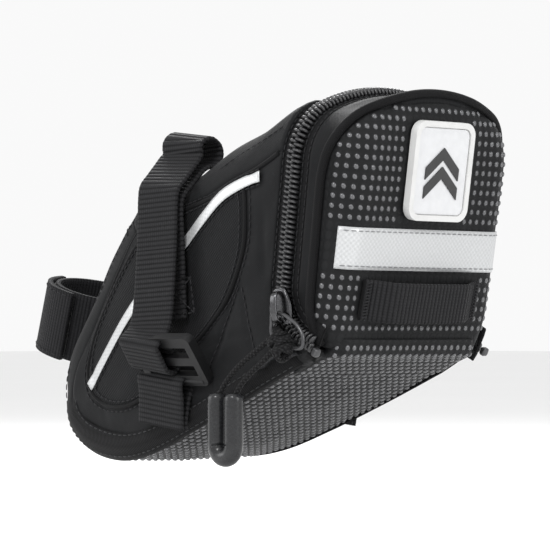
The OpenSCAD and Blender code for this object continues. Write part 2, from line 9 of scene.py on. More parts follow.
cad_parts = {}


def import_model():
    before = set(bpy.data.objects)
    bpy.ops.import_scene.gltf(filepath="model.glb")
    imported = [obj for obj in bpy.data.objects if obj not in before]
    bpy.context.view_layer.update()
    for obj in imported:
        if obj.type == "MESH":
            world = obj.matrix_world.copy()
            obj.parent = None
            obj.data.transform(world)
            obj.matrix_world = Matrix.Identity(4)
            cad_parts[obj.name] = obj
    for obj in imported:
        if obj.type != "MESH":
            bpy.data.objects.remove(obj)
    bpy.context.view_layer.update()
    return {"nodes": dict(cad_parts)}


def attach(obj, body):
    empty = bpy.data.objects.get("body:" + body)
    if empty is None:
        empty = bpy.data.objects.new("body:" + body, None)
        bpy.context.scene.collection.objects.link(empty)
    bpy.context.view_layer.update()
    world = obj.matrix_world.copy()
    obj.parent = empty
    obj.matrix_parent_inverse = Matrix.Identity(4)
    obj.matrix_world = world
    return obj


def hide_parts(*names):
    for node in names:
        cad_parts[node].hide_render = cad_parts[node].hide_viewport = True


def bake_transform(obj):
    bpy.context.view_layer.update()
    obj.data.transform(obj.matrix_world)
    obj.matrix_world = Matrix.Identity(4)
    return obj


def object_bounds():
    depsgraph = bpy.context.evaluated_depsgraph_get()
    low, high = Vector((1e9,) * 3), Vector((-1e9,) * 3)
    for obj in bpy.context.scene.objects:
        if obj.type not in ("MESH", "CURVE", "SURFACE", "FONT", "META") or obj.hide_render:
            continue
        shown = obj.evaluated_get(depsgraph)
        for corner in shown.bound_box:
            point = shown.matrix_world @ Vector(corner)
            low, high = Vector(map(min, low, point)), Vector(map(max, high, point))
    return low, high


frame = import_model()

# -------------------- sizes in millimetres, in the bag's own frame
PITCH = math.radians(7)
BAG_MIDDLE = np.array([10.0, 0, -40])
HALF_W, MID_W = 35.5, 31.5
ZIP_X, TEETH_W, TAPE_W, TOOTH = 57.5, 2.6, 3.0, 1.45
TAIL_R, TAIL_Z, TAIL_ANGLE, TAIL_RUN = 16.0, -34.0, 250.0, 5.0
TAIL_C = np.array([ZIP_X + TAIL_R, TAIL_Z])
ARCH_R, CROWN_R, ARCH_TOP = 17.0, 64.0, 22.8
SEAM_X = 69.5
CLOTH_T, CLOTH_FILL, REAR_FILL, BOARD_FILL = 1.9, 0.6, 0.7, 1.0
PIP_U, PIP_V = 2.75, 2.9
RIB_PITCH, RIB_DEPTH = 1.45, 0.16
# The side view's outline from the zip over the roof, nose and bottom: x, z, corner radius, crown across.
OUTLINE = np.array([
    [50.5, 19, 16, 3.2], [38, 12, 15, 2.4], [26, 5, 13, 1.4], [13, -3, 12, 0.5], [0, -9.5, 12, 0],
    [-11, -14, 11, 0], [-20, -20, 10, 0], [-30, -34, 11, 0], [-40, -52, 12, 0], [-48, -67, 12, 0],
    [-50, -79, 12, 0], [-45, -90, 11, 0], [-33, -96.5, 9, 0], [-16, -97, 7, 0], [0, -92.5, 5, 0],
    [18, -83.5, 4, 0], [38, -72.5, 4, 0], [57, -61.5, 4, 0], [72, -53.5, 4, 0]], float)
# The lid's face from the top down: x, z, radius at its border.
REAR = np.array([
    [78.2, 22.6, 1.5], [79.4, 19, 3], [80, 15, 6], [80.2, 8, 8.5], [79.8, -5, 9.5], [78.8, -20, 9],
    [77.6, -33, 8], [76.2, -44, 6], [75.2, -52, 4]], float)


def world(p):
    """From the bag's frame in millimetres to the CAD's frame in metres."""
    p = np.asarray(p, float)
    x, y, z = p[..., 0], p[..., 1], p[..., 2]
    c, s = math.cos(PITCH), math.sin(PITCH)
    return np.stack([x * c + z * s, y, z * c - x * s], -1) / 1000


def metres(p):
    return np.asarray(p, float) / 1000


def curve(points, n, a=0, b=None):
    """A smooth curve through the points from index a to b, with n steps between each pair."""
    points = np.asarray(points, float)
    last = len(points) - 1
    b = last if b is None else b
    at = lambda i: points[max(0, min(last, i))]
    out = []
    for i in range(a, b):
        p0, p1, p2, p3 = at(i - 1), at(i), at(i + 1), at(i + 2)
        for k in range(n):
            t = k / n
            out.append(0.5 * (2 * p1 + (p2 - p0) * t + (2 * p0 - 5 * p1 + 4 * p2 - p3) * t * t
                              + (3 * p1 - p0 - 3 * p2 + p3) * t ** 3))
    out.append(at(b))
    return np.array(out)


def closed_curve(points, n):
    """A smooth curve round through the points and back to the first one."""
    points = np.asarray(points, float)
    return curve(np.concatenate([points[-2:], points, points[:3]]), n, 2, 2 + len(points))


def unit(v):
    v = np.asarray(v, float)
    return v / np.maximum(np.linalg.norm(v, axis=-1, keepdims=True), 1e-12)


def lengths(line):
    return np.concatenate([[0], np.cumsum(np.linalg.norm(np.diff(line, axis=0), axis=1))])


def along(line, s, at):
    """Points of a line with distances s, at the distances at."""
    return np.stack([np.interp(at, s, line[:, k]) for k in range(line.shape[1])], -1)


def resample(line, n=None, step=None):
    """Points at even distances along a line."""
    line = np.asarray(line, float)
    s = lengths(line)
    n = n or max(2, int(round(s[-1] / step)) + 1)
    return along(line, s, np.linspace(0, s[-1], n))


def ring_points(r, angles):
    """Points (r cos, r sin) at angles in radians."""
    return np.stack([r * np.cos(angles), r * np.sin(angles)], -1)


def side_w(x):
    return np.minimum(HALF_W - 0.4, MID_W + (HALF_W - MID_W) * np.asarray(x, float) / ZIP_X)


ARCH_A = HALF_W - ARCH_R
CROWN_Z = ARCH_TOP - CROWN_R
ARCH_B = CROWN_Z + math.sqrt((CROWN_R - ARCH_R) ** 2 - ARCH_A ** 2)
ARCH_T = math.degrees(math.atan2(ARCH_A, ARCH_B - CROWN_Z))


def arch(d, foot, n=14):
    """The rear opening's outline in Y and Z, drawn in by d, from the left foot to the right one."""
    left = [(d - HALF_W, z) for z in np.linspace(foot, ARCH_B, 2 * n, endpoint=False)]
    corner = [(-ARCH_A + (ARCH_R - d) * math.cos(a), ARCH_B + (ARCH_R - d) * math.sin(a))
              for a in np.radians(np.linspace(180, 90 + ARCH_T, n, endpoint=False))]
    crown = [((CROWN_R - d) * math.cos(a), CROWN_Z + (CROWN_R - d) * math.sin(a))
             for a in np.radians(np.linspace(90 + ARCH_T, 90, n + 1))]
    half = left + corner + crown
    return np.array(half + [(-y, z) for y, z in half[-2::-1]])


def arch_top(y):
    """Height of the opening's outline over a place across the bag."""
    y = np.minimum(np.abs(y), HALF_W - 0.01)
    corner = ARCH_B + np.sqrt(np.maximum(ARCH_R ** 2 - (y - ARCH_A) ** 2, 0))
    crown = CROWN_Z + np.sqrt(CROWN_R ** 2 - y ** 2)
    return np.where(y > CROWN_R * math.sin(math.radians(ARCH_T)), corner, crown)


# -------------------- meshes
def link(o):
    """Puts an object into the scene."""
    bpy.context.scene.collection.objects.link(o)


def part(o, body, node=None):
    """Puts a piece on its body and hides the CAD node it replaces."""
    if node:
        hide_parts(node)
    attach(o, body)


def make(name, verts, faces, uv=None, mats=(), smooth=True):
    """A mesh object with its UV map and materials."""
    me = bpy.data.meshes.new(name)
    me.from_pydata([tuple(v) for v in np.asarray(verts).tolist()], [], [tuple(f) for f in faces])
    if uv is not None:
        index = np.zeros(len(me.loops), int)
        me.loops.foreach_get("vertex_index", index)
        layer = me.uv_layers.new(name="UVMap")
        layer.data.foreach_set("uv", np.asarray(uv, np.float32)[index].ravel())
    me.polygons.foreach_set("use_smooth", [smooth] * len(me.polygons))
    for m in mats:
        me.materials.append(m)
    o = bpy.data.objects.new(name, me)
    link(o)
    return o


def grid_faces(n, m, wrap=False):
    """Quads of a grid of n rows of m points, closed across if wrapped."""
    faces = []
    for i in range(n - 1):
        for j in range(m if wrap else m - 1):
            k = (j + 1) % m
            faces.append((i * m + j, i * m + k, (i + 1) * m + k, (i + 1) * m + j))
    return faces


def tube_faces(base, rings, sides):
    """Faces of a closed tube of rings, whose vertices start at base."""
    last = base + (rings - 1) * sides
    walls = [tuple(base + k for k in f) for f in grid_faces(rings, sides, wrap=True)]
    return walls + [tuple(range(base + sides - 1, base - 1, -1)), tuple(range(last, last + sides))]


def flat_uv(points):
    """Distances across and along a grid, from its middle column."""
    mid = points.shape[1] // 2
    steps = np.linalg.norm(np.diff(points, axis=1), axis=2)
    u = np.concatenate([np.zeros((len(points), 1)), np.cumsum(steps, 1)], 1)
    v = np.repeat(lengths(points[:, mid])[:, None], points.shape[1], 1)
    return np.stack([u - u[:, mid][:, None], v], -1)


def grid(name, points, mats, uv=None, away=BAG_MIDDLE, place=world):
    """A sheet through a grid of points in millimetres; its front faces away from the point away."""
    p = place(points)
    uv = flat_uv(p) if uv is None else uv
    faces = grid_faces(*points.shape[:2])
    away = place(np.asarray(away, float))
    f = np.array(faces)
    flat = p.reshape(-1, 3)
    normal = np.cross(flat[f[:, 1]] - flat[f[:, 0]], flat[f[:, 3]] - flat[f[:, 0]])
    if np.sum(normal * (flat[f].mean(1) - away)) < 0:
        faces = [x[::-1] for x in faces]
    return make(name, flat, faces, uv.reshape(-1, 2), mats)


def frames(line, ref):
    """Side and normal at each point of a line; ref is the side's wanted direction."""
    t = unit(np.gradient(line, axis=0))
    ref = np.broadcast_to(np.asarray(ref, float), line.shape)
    side = unit(ref - np.sum(ref * t, 1, keepdims=True) * t)
    return side, np.cross(t, side)


def sweep(name, line, side, section, mat, place=world, caps=True, ribs=False):
    """A closed section (side, normal) in millimetres swept along a line, with cross ribs if wanted."""
    line, section = np.asarray(line, float), np.asarray(section, float)
    if ribs:
        line = resample(line, step=RIB_PITCH / 6)
        wave = np.abs(np.sin(math.pi * lengths(line) / RIB_PITCH)) ** 0.6 - 0.6
        face = np.clip(section[:, 1] / np.abs(section[:, 1]).max(), -1, 1)
        swell = RIB_DEPTH * wave[:, None] * face
        section = section[None] + np.stack([0 * swell, swell], -1)
    b, n = frames(line, side)
    if section.ndim == 2:
        section = np.repeat(section[None], len(line), 0)
    p = line[:, None] + section[..., 0:1] * b[:, None] + section[..., 1:2] * n[:, None]
    m = section.shape[1]
    s = lengths(place(line))
    around = lengths(section[0])[:m] / 1000
    uv = np.stack([np.repeat(around[None], len(line), 0), np.repeat(s[:, None], m, 1)], -1)
    faces = grid_faces(len(line), m, wrap=True)
    if caps:
        faces += [tuple(range(m)), tuple(range(len(line) * m - 1, len(line) * m - m - 1, -1))]
    o = make(name, place(p).reshape(-1, 3), faces, uv.reshape(-1, 2), [mat])
    bm = bmesh.new()
    bm.from_mesh(o.data)
    bmesh.ops.recalc_face_normals(bm, faces=bm.faces)
    bm.to_mesh(o.data)
    bm.free()
    return o


def strap_section(width, t, round_n=3):
    """Section of a flat strap with round edges."""
    r, flat_n = t / 2, 10
    h = width / 2 - r
    edge = np.linspace(0, math.pi, round_n + 2)[1:-1]
    top = [(x, r) for x in np.linspace(-h, h, flat_n)]
    right = [(h + r * math.sin(a), r * math.cos(a)) for a in edge]
    return np.array(top + right + [(-x, -y) for x, y in top + right])


def round_section(r, n=12):
    return ring_points(r, np.linspace(0, 2 * math.pi, n, endpoint=False))


def join(name, objects):
    """Several pieces as one mesh."""
    for o in bpy.context.selected_objects:
        o.select_set(False)
    with bpy.context.temp_override(active_object=objects[0], selected_objects=objects,
                                   selected_editable_objects=objects):
        bpy.ops.object.join()
    objects[0].name = name
    objects[0].data.name = name
    return objects[0]


def thick(o, t, lining=False):
    """Gives a sheet its thickness in millimetres, with the lining on the inside if wanted."""
    m = o.modifiers.new("thickness", "SOLIDIFY")
    m.thickness = t / 1000
    m.offset = -1
    if lining:
        m.material_offset = 1
        m.material_offset_rim = 0
    return o


def panel(name, points, mat, t, body, node, uv=None):
    """A padded and lined panel of cloth."""
    o = thick(grid(name, points, [M[mat], M["lining"]], uv), t, lining=True)
    part(o, body, node)


def applied(o):
    """The object with its modifiers applied."""
    dg = bpy.context.evaluated_depsgraph_get()
    me = bpy.data.meshes.new_from_object(o.evaluated_get(dg), preserve_all_data_layers=True, depsgraph=dg)
    o.modifiers.clear()
    o.data = me
    return o


def stitches(name, lines, mat, pitch=3.0, length=2.2, r=0.24, place=world):
    """Stitches along lines of (points, normals), each a capsule bent into the cloth at its ends."""
    verts, faces = [], []
    rings = np.array([[-0.5, 0.35], [-0.38, 0.9], [0, 1.0], [0.38, 0.9], [0.5, 0.35]])
    sides = 6
    for line, normals in lines:
        line, normals = np.asarray(line, float), np.asarray(normals, float)
        s = lengths(line)
        for c in np.arange(pitch / 2, s[-1], pitch):
            a, b = along(line, s, max(0, c - length / 2)), along(line, s, min(s[-1], c + length / 2))
            t = unit(b - a)
            w = unit(np.cross(t, unit(along(normals, s, c))))
            n = np.cross(w, t)
            faces += tube_faces(len(verts), len(rings), sides)
            for f, q in rings:
                mid = (a + b) / 2 + t * f * length + n * r * (0.6 - 2.2 * f * f)
                for k in range(sides):
                    an = 2 * math.pi * k / sides
                    verts.append(mid + q * r * (math.cos(an) * w + math.sin(an) * n))
    return make(name, place(np.array(verts)), faces, None, [mat])


# -------------------- materials
class Paint:
    """A principled material whose colour, roughness and height come from nodes."""

    def __init__(self, name, base, rough, metal=0.0, sheen=0.0, spec=0.5, coat=0.0):
        self.mat = bpy.data.materials.new(name)
        self.mat.use_nodes = True
        self.tree = self.mat.node_tree
        self.link = self.tree.links.new
        self.tree.nodes.clear()
        self.shader = self.node("BsdfPrincipled")
        self.link(self.shader.outputs[0], self.node("OutputMaterial").inputs[0])
        for key, value in (("Base Color", (*base, 1)), ("Roughness", rough), ("Metallic", metal),
                           ("Sheen Weight", sheen), ("Sheen Roughness", 0.5), ("Specular IOR Level", spec),
                           ("Coat Weight", coat)):
            self.shader.inputs[key].default_value = value
        self.mat.diffuse_color = (*base, 1)
        self.base = base
        coords, split = self.node("TexCoord"), self.node("SeparateXYZ")
        self.object = coords.outputs["Object"]
        self.link(coords.outputs["UV"], split.inputs[0])
        self.u = self.do("MULTIPLY", split.outputs[0], 1000)
        self.v = self.do("MULTIPLY", split.outputs[1], 1000)

    def node(self, kind):
        return self.tree.nodes.new("ShaderNode" + kind)

    def put(self, socket, value):
        if isinstance(value, (int, float)):
            socket.default_value = value
        elif isinstance(value, tuple):
            socket.default_value = (*value, 1)
        else:
            self.link(value, socket)

    def do(self, op, a, b=0.0, c=0.0, clamp=False):
        n = self.node("Math")
        n.operation = op
        n.use_clamp = clamp
        for socket, value in zip(n.inputs, (a, b, c)):
            self.put(socket, value)
        return n.outputs[0]

    def noise(self, scale, detail=3.0, stretch=None):
        n = self.node("TexNoise")
        n.inputs["Scale"].default_value = scale
        n.inputs["Detail"].default_value = detail
        source = self.object
        if stretch:
            m = self.node("Mapping")
            m.inputs["Scale"].default_value = stretch
            self.link(source, m.inputs[0])
            source = m.outputs[0]
        self.link(source, n.inputs["Vector"])
        return n.outputs[0]

    def sine(self, x, pitch):
        return self.do("SINE", self.do("MULTIPLY_ADD", x, 2 * math.pi / pitch, 0.0))

    def weave(self, pitch):
        both_ways = self.do("MULTIPLY", self.sine(self.u, pitch), self.sine(self.v, pitch))
        return self.do("MULTIPLY_ADD", both_ways, 0.5, 0.5)

    def ribs(self, pitch, fine=0.9):
        rib = self.do("ABSOLUTE", self.sine(self.v, 2 * pitch))
        warp = self.do("ABSOLUTE", self.sine(self.u, 2 * fine))
        return self.do("MULTIPLY", self.do("POWER", rib, 0.6), self.do("MULTIPLY_ADD", warp, 0.3, 0.7))

    def braid(self):
        u, v = self.do("MULTIPLY", self.u, 2.4), self.do("MULTIPLY", self.v, 2.2)
        strands = [self.do("ABSOLUTE", self.do("SINE", self.do(op, u, v))) for op in ("ADD", "SUBTRACT")]
        return self.do("MULTIPLY", *strands)

    def rings(self, half_u, half_v):
        """Soft spots on the pips' lattice, a little wider than the pips: the mask of the painted light round
        them.
        """
        cell = lambda x, p: self.do("SUBTRACT", self.do("FRACT", self.do("DIVIDE", x, p)), 0.5)
        a = self.do("MULTIPLY", cell(self.u, PIP_U), PIP_U / half_u)
        b = self.do("MULTIPLY", cell(self.v, PIP_V), PIP_V / half_v)
        d = self.do("SQRT", self.do("ADD", self.do("MULTIPLY", a, a), self.do("MULTIPLY", b, b)))
        return self.do("MULTIPLY", self.do("SUBTRACT", 1.25, d, clamp=True), 2.2, clamp=True)

    def over(self, x, level, gain):
        """How far a value is over a level, times gain, from 0 to 1."""
        return self.do("MULTIPLY", self.do("SUBTRACT", x, level, clamp=True), gain, clamp=True)

    def mix(self, factor, a, b):
        n = self.node("Mix")
        n.data_type = "RGBA"
        for key, value in (("Factor", factor), ("A", a), ("B", b)):
            self.put([s for s in n.inputs if s.name == key and s.enabled][0], value)
        return [s for s in n.outputs if s.enabled][0]

    def colour(self, socket):
        self.link(socket, self.shader.inputs["Base Color"])

    def roughness(self, factor, low, high):
        self.link(self.do("MULTIPLY_ADD", factor, high - low, low), self.shader.inputs["Roughness"])

    def bump(self, layers):
        """layers: (height socket, depth in millimetres)."""
        last = None
        for height, depth in layers:
            n = self.node("Bump")
            n.inputs["Distance"].default_value = depth / 1000
            n.inputs["Strength"].default_value = 1.0
            self.link(height, n.inputs["Height"])
            if last:
                self.link(last, n.inputs["Normal"])
            last = n.outputs[0]
        self.link(last, self.shader.inputs["Normal"])

    def worn(self, colour, amount):
        """Lighter along the edges, where it has been rubbed."""
        edge = self.over(self.node("NewGeometry").outputs["Pointiness"], 0.51, 12)
        patchy = self.do("MULTIPLY", edge, self.noise(220, 4))
        rubbed = tuple(min(1, c * 3 + 0.04) for c in self.base)
        return self.mix(self.do("MULTIPLY", patchy, amount, clamp=True), colour, rubbed)


def shade(c, k):
    return tuple(min(1.0, x * k) for x in c)


def cloth_paint(name, base, rough, height, depth, light=2.1, dark=0.45, sheen=0.02, crease=0.0):
    """Woven goods: the height drives the tone between thread tops and gaps, as painted shade in the gaps and
    a painted highlight on the tops.
    """
    base = shade(base, 0.34)
    p = Paint(name, base, rough, sheen=sheen, spec=0.07)
    h = height(p)
    # Painted light: the gaps between threads are painted darker as shade and the thread tops lighter as
    # highlight, following the height.
    tone = p.mix(h, shade(base, dark), shade(base, light))
    blotch = p.mix(p.do("MULTIPLY", p.noise(60, 4), 0.5), tone, shade(base, 1.35))
    dust = p.over(p.noise(900, 2), 0.6, 1.2)
    p.colour(p.mix(dust, blotch, shade(base, 4)))
    p.roughness(h, rough + 0.12, rough - 0.06)
    folds = [(p.noise(75, 3), crease)] if crease else []
    p.bump(folds + [(h, depth)])
    return p.mat


def solid_paint(name, base, rough, tones, gloss, depth, look, gloss_look=None, relief_look=None, rub=0.0,
                **kind):
    """Moulded or metal goods. Each look is a noise: scale, detail and stretch."""
    p = Paint(name, base, rough, **kind)
    grain = p.noise(*look)
    tone = p.mix(grain, *tones)
    p.colour(p.worn(tone, rub) if rub else tone)
    p.roughness(p.noise(*gloss_look) if gloss_look else grain, *gloss)
    p.bump([(p.noise(*relief_look) if relief_look else grain, depth)])
    return p.mat


thread_look = lambda p: p.noise(3000, 2)
M = {
    "smooth": cloth_paint("smooth_nylon", (0.020, 0.0205, 0.022), 0.55, lambda p: p.weave(0.62), 0.05,
                          crease=0.5),
    "ribbed": cloth_paint("ripstop_inset", (0.017, 0.0175, 0.019), 0.62, lambda p: p.weave(1.1), 0.12,
                          light=2.2, crease=0.4),
    "binding": cloth_paint("grosgrain", (0.016, 0.016, 0.017), 0.7, lambda p: p.ribs(0.75, 3), 0.14),
    "piping": cloth_paint("piping_cloth", (0.014, 0.014, 0.015), 0.6, lambda p: p.weave(0.7), 0.05),
    "webbing": cloth_paint("webbing", (0.028, 0.028, 0.030), 0.62, lambda p: p.ribs(RIB_PITCH, 0.85), 0.32,
                           crease=0.25),
    "post_webbing": cloth_paint("post_webbing", (0.022, 0.022, 0.024), 0.66, lambda p: p.ribs(1.2), 0.25),
    "tape": cloth_paint("zip_tape", (0.014, 0.014, 0.015), 0.68, lambda p: p.ribs(0.55, 1.1), 0.08),
    "fuzzy": cloth_paint("loop_pile", (0.030, 0.030, 0.032), 0.9, lambda p: p.noise(1500, 5), 0.5, sheen=0.2),
    "lining": cloth_paint("lining", (0.055, 0.056, 0.060), 0.6, lambda p: p.weave(0.5), 0.04, crease=0.6),
    "cord": cloth_paint("braided_cord", (0.020, 0.020, 0.021), 0.55, lambda p: p.braid(), 0.25, light=3.2,
                        dark=0.5),
    "thread": cloth_paint("thread", (0.045, 0.045, 0.048), 0.5, thread_look, 0.05),
    "thread_silver": cloth_paint("thread_silver", (0.62, 0.63, 0.64), 0.5, thread_look, 0.05, light=1.2),
    "thread_light": cloth_paint("thread_light", (0.10, 0.103, 0.107), 0.5, thread_look, 0.05, light=1.2),
    "dots": solid_paint("raised_pips", (0.040, 0.0405, 0.043), 0.22,
                        ((0.024, 0.0245, 0.027), (0.085, 0.086, 0.091)), (0.16, 0.34), 0.015, (900, 3),
                        relief_look=(2400, 2), rub=0.5, spec=0.75),
    "teeth": solid_paint("nylon_teeth", (0.012, 0.012, 0.013), 0.34,
                         ((0.009, 0.009, 0.010), (0.024, 0.024, 0.026)), (0.26, 0.46), 0.03, (500, 3),
                         (1400, 2), (1800, 2), spec=0.6),
    "metal": solid_paint("black_nickel", (0.055, 0.055, 0.058), 0.2,
                         ((0.04, 0.04, 0.042), (0.10, 0.10, 0.104)), (0.12, 0.34), 0.015,
                         (700, 5, (1, 1, 6)), rub=0.8, metal=1.0),
    "dark_metal": solid_paint("painted_metal", (0.035, 0.035, 0.037), 0.3,
                              ((0.028, 0.028, 0.030), (0.06, 0.06, 0.063)), (0.22, 0.42), 0.012,
                              (800, 5, (1, 1, 8)), rub=0.8, metal=0.6),
    "plastic": solid_paint("moulded_plastic", (0.006, 0.006, 0.0065), 0.4,
                           ((0.004, 0.004, 0.0045), (0.009, 0.009, 0.0095)), (0.34, 0.55), 0.035, (1600, 3),
                           rub=0.4, spec=0.2),
    "grip": solid_paint("grip_rubber", (0.011, 0.0115, 0.0125), 0.3,
                        ((0.008, 0.0083, 0.009), (0.016, 0.0165, 0.018)), (0.2, 0.34), 0.03, (1100, 4),
                        rub=0.3, spec=0.38),
    "plate": solid_paint("badge_plate", (0.70, 0.71, 0.72), 0.45,
                         ((0.50, 0.505, 0.515), (0.60, 0.605, 0.615)), (0.38, 0.55), 0.02, (400, 4),
                         (500, 2), (2200, 2)),
    "mark": solid_paint("badge_mark", (0.012, 0.012, 0.012), 0.3,
                        ((0.009, 0.009, 0.009), (0.02, 0.02, 0.021)), (0.22, 0.4), 0.01, (700, 3),
                        (900, 2), (1800, 2), rub=0.3),
    "foam": solid_paint("cell_foam", (0.20, 0.20, 0.21), 0.85,
                        ((0.14, 0.14, 0.15), (0.26, 0.26, 0.27)), (0.75, 0.95), 0.12, (1300, 5))}

# Coated cloth under the raised pips, with a painted highlight in a soft ring round each pip.
p = Paint("coated_cloth", (0.0055, 0.0057, 0.0061), 0.6, sheen=0.015, spec=0.14)
weft, pip_ring_painted_light = p.weave(0.55), p.rings(1.05, 1.2)
# Painted light: painted shade between the threads and a painted highlight on their tops, following the
# weave's height.
ground = p.mix(weft, shade(p.base, 0.7), shade(p.base, 1.6))
ground = p.mix(p.do("MULTIPLY", p.noise(70, 3), 0.4), ground, shade(p.base, 1.6))
# Painted light: the cloth is painted lighter in a soft ring round each pip.
p.colour(p.mix(p.do("MULTIPLY", pip_ring_painted_light, 0.5), ground, shade(p.base, 2.2)))
p.roughness(p.noise(400, 2), 0.5, 0.72)
p.bump([(p.noise(55, 2), 0.25), (weft, 0.04), (pip_ring_painted_light, 0.12)])
M["pips"] = p.mat

# Reflective tape: fine glass beads in a faint honeycomb.
p = Paint("reflective_tape", (0.50, 0.51, 0.515), 0.36, metal=0.3, spec=0.5, coat=0.1)
grain = p.noise(2600, 2)
beads = p.do("MULTIPLY_ADD", grain, 0.6, p.do("MULTIPLY", p.weave(1.6), 0.3))
p.colour(p.mix(beads, (0.32, 0.325, 0.33), (0.62, 0.63, 0.635)))
p.roughness(grain, 0.25, 0.42)
p.bump([(p.noise(90, 2), 0.12), (grain, 0.02)])
M["reflective"] = p.mat

# The badge's white rubber, a little soiled.
p = Paint("badge_rubber", (0.80, 0.80, 0.79), 0.4, spec=0.4)
dirt = p.noise(160, 5)
p.colour(p.mix(p.over(dirt, 0.45, 1.4), (0.56, 0.56, 0.555), (0.42, 0.42, 0.41)))
p.roughness(dirt, 0.34, 0.5)
p.bump([(p.noise(1500, 2), 0.02)])
M["badge"] = p.mat

# -------------------- camera and light
CAMERA_AT, CAMERA_LENS, AIM_OFFSET = (0.6954, -0.6695, -0.0557), 205, Vector((0.0076, 0.0079, 0.001))
FLOOR_GAP, FLOOR_HALF, SKY = 0.03, 9, 0.95
lo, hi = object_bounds()
middle = (lo + hi) / 2


def look_at(o, place, target):
    o.location = place
    o.rotation_mode = "QUATERNION"
    o.rotation_quaternion = (Vector(place) - Vector(target)).to_track_quat("Z", "Y")
    link(o)


cam_data = bpy.data.cameras.new("Camera")
cam_data.sensor_width = 36
cam_data.lens = CAMERA_LENS
cam_data.clip_start, cam_data.clip_end = 0.05, 50
cam = bpy.data.objects.new("Camera", cam_data)
look_at(cam, CAMERA_AT, middle + AIM_OFFSET)
bpy.context.scene.camera = cam
for name, place, size, power in (("key", (0.35, -1.0, 0.9), 0.35, 11), ("fill", (1.1, 0.1, 0.35), 0.6, 4.5),
                                 ("rim", (-0.7, 0.5, 0.8), 0.4, 8), ("front", (-0.9, -0.7, 0.3), 0.6, 3)):
    data = bpy.data.lights.new(name, "AREA")
    data.shape = "DISK"
    data.size = size
    data.energy = power
    look_at(bpy.data.objects.new(name, data), place, middle)
bpy.context.scene.view_settings.view_transform = "Standard"
world_data = bpy.data.worlds.new("World")
bpy.context.scene.world = world_data
world_data.use_nodes = True
sky = world_data.node_tree.nodes["Background"].inputs
sky[0].default_value = (1, 1, 1, 1)
sky[1].default_value = SKY

p = Paint("studio_floor", (0.86, 0.86, 0.86), 0.7)
p.colour(p.mix(p.noise(3, 2), (0.85, 0.85, 0.85), (0.88, 0.88, 0.88)))
corners = [(x * FLOOR_HALF, y * FLOOR_HALF, lo.z - FLOOR_GAP)
           for x, y in ((-1, -1), (1, -1), (1, 1), (-1, 1))]
make("floor", corners, [(0, 1, 2, 3)], None, [p.mat], smooth=False)

# -------------------- the pull's cord, with its knot and grip
ROUTE = [
    [55, -41.8, -60], [51, -42, -63.5], [46, -42.2, -67], [41.5, -42.2, -71], [39.4, -42.2, -75],
    [39.1, -42.2, -80], [39.1, -42.2, -88], [38, -42.2, -90.5], [35.6, -42.2, -91.5], [33.2, -42.2, -90.5],
    [32.1, -42.2, -88], [32.1, -42.2, -80], [32.6, -42.2, -75], [35.5, -42.2, -70], [40.5, -42.2, -65.5],
    [46.5, -42, -61.5], [53, -41.8, -57.5]]
CORD_D = 1.7
KNOT, KNOT_L, KNOT_LEAN = np.array([57.2, -41.2, -58.6]), 8.6, math.radians(33)
cord_path = curve(ROUTE, 6)
cord = sweep("pull_cord_braid", cord_path, (0, 1, 0), round_section(CORD_D / 2, 10), M["cord"], metres)
knot_up = np.array([-math.sin(KNOT_LEAN), 0, math.cos(KNOT_LEAN)])
knot_side = np.array([math.cos(KNOT_LEAN), 0, math.sin(KNOT_LEAN)])
knot_out = np.array([0, -1.0, 0])


def round_knot(h, r, a):
    """Points at height h, radius r and angle a about the knot's axis."""
    return (KNOT + np.outer(h, knot_up) + np.outer(r * np.cos(a), knot_side)
            + np.outer(r * np.sin(a), knot_out))


knot_parts = []
for hand, phase in ((1, 0), (1, math.pi), (-1, 0.6), (-1, 0.6 + math.pi)):
    t = np.linspace(0, 1, 60)
    r = 1.7 + 1.15 * np.sin(math.pi * t) + 0.25 * hand * np.sin(4 * math.pi * t + phase)
    line = round_knot((t - 0.5) * (KNOT_L - 1.9), r, phase + hand * 2 * math.pi * 1.15 * t)
    knot_parts.append(sweep("strand", line, (0, 0.3, 1), round_section(0.95, 10), M["cord"], metres))
for z, r in ((-2.9, 2.15), (-1.2, 2.7), (0.7, 2.8), (2.5, 2.35)):
    a = np.linspace(0, 2 * math.pi, 49)
    line = round_knot(z + 1.15 * np.sin(a + 1.7 * z), r, a)
    knot_parts.append(sweep("turn", line, knot_up, round_section(0.8, 10), M["cord"], metres, caps=False))
knot = join("pull_knot_braid", knot_parts)

GRIP, LEG_X, GRIP_R = np.array([35.6, -42.2, -88.0]), 3.5, 2.78
leg = np.array([[LEG_X, 0, z] for z in np.linspace(15, 0.01, 14)])
bend = np.array([[LEG_X * math.cos(a), 0, -LEG_X * math.sin(a)] for a in np.linspace(0, math.pi, 20)])
grip_line = GRIP + np.concatenate([leg, bend, (leg * [-1, 1, 1])[::-1]])
s = lengths(grip_line)
end = np.minimum(s, s[-1] - s)
grip_r = GRIP_R - 0.55 * np.clip(1 - end / 1.1, 0, 1) ** 2 - 0.16 * np.exp(-((end - 2.6) / 0.35) ** 2)
grip_section = grip_r[:, None, None] * round_section(1, 22)[None]
grip_parts = [sweep("grip", grip_line, (0, 1, 0), grip_section, M["grip"], metres)]
for side in (-1, 1):
    line = grip_line + np.array([0, side * (GRIP_R - 0.04), 0])
    grip_parts.append(sweep("flash", line[3:-3], (0, 1, 0), round_section(0.1, 6), M["grip"], metres))
grip = join("pull_grip_moulding", grip_parts)
part(cord, "pull", "pull_cord")
part(knot, "pull", "pull_knot")
part(grip, "pull", "pull_grip")

# -------------------- the body's shells
STEP = 8
BOARD_IN, HINGE_X, PIP_A, PIP_B = 2.4, 60.5, 0.70, 0.84
LINE = curve(OUTLINE, STEP)
tangent = np.gradient(LINE[:, :2], axis=0)
INWARD = unit(np.stack([-tangent[:, 1], tangent[:, 0]], -1))
turn = np.clip(np.arange(len(LINE)) / (3 * STEP), 0, 1)[:, None]
DOWN = unit(turn * INWARD + (1 - turn) * np.array([0, -1.0]))


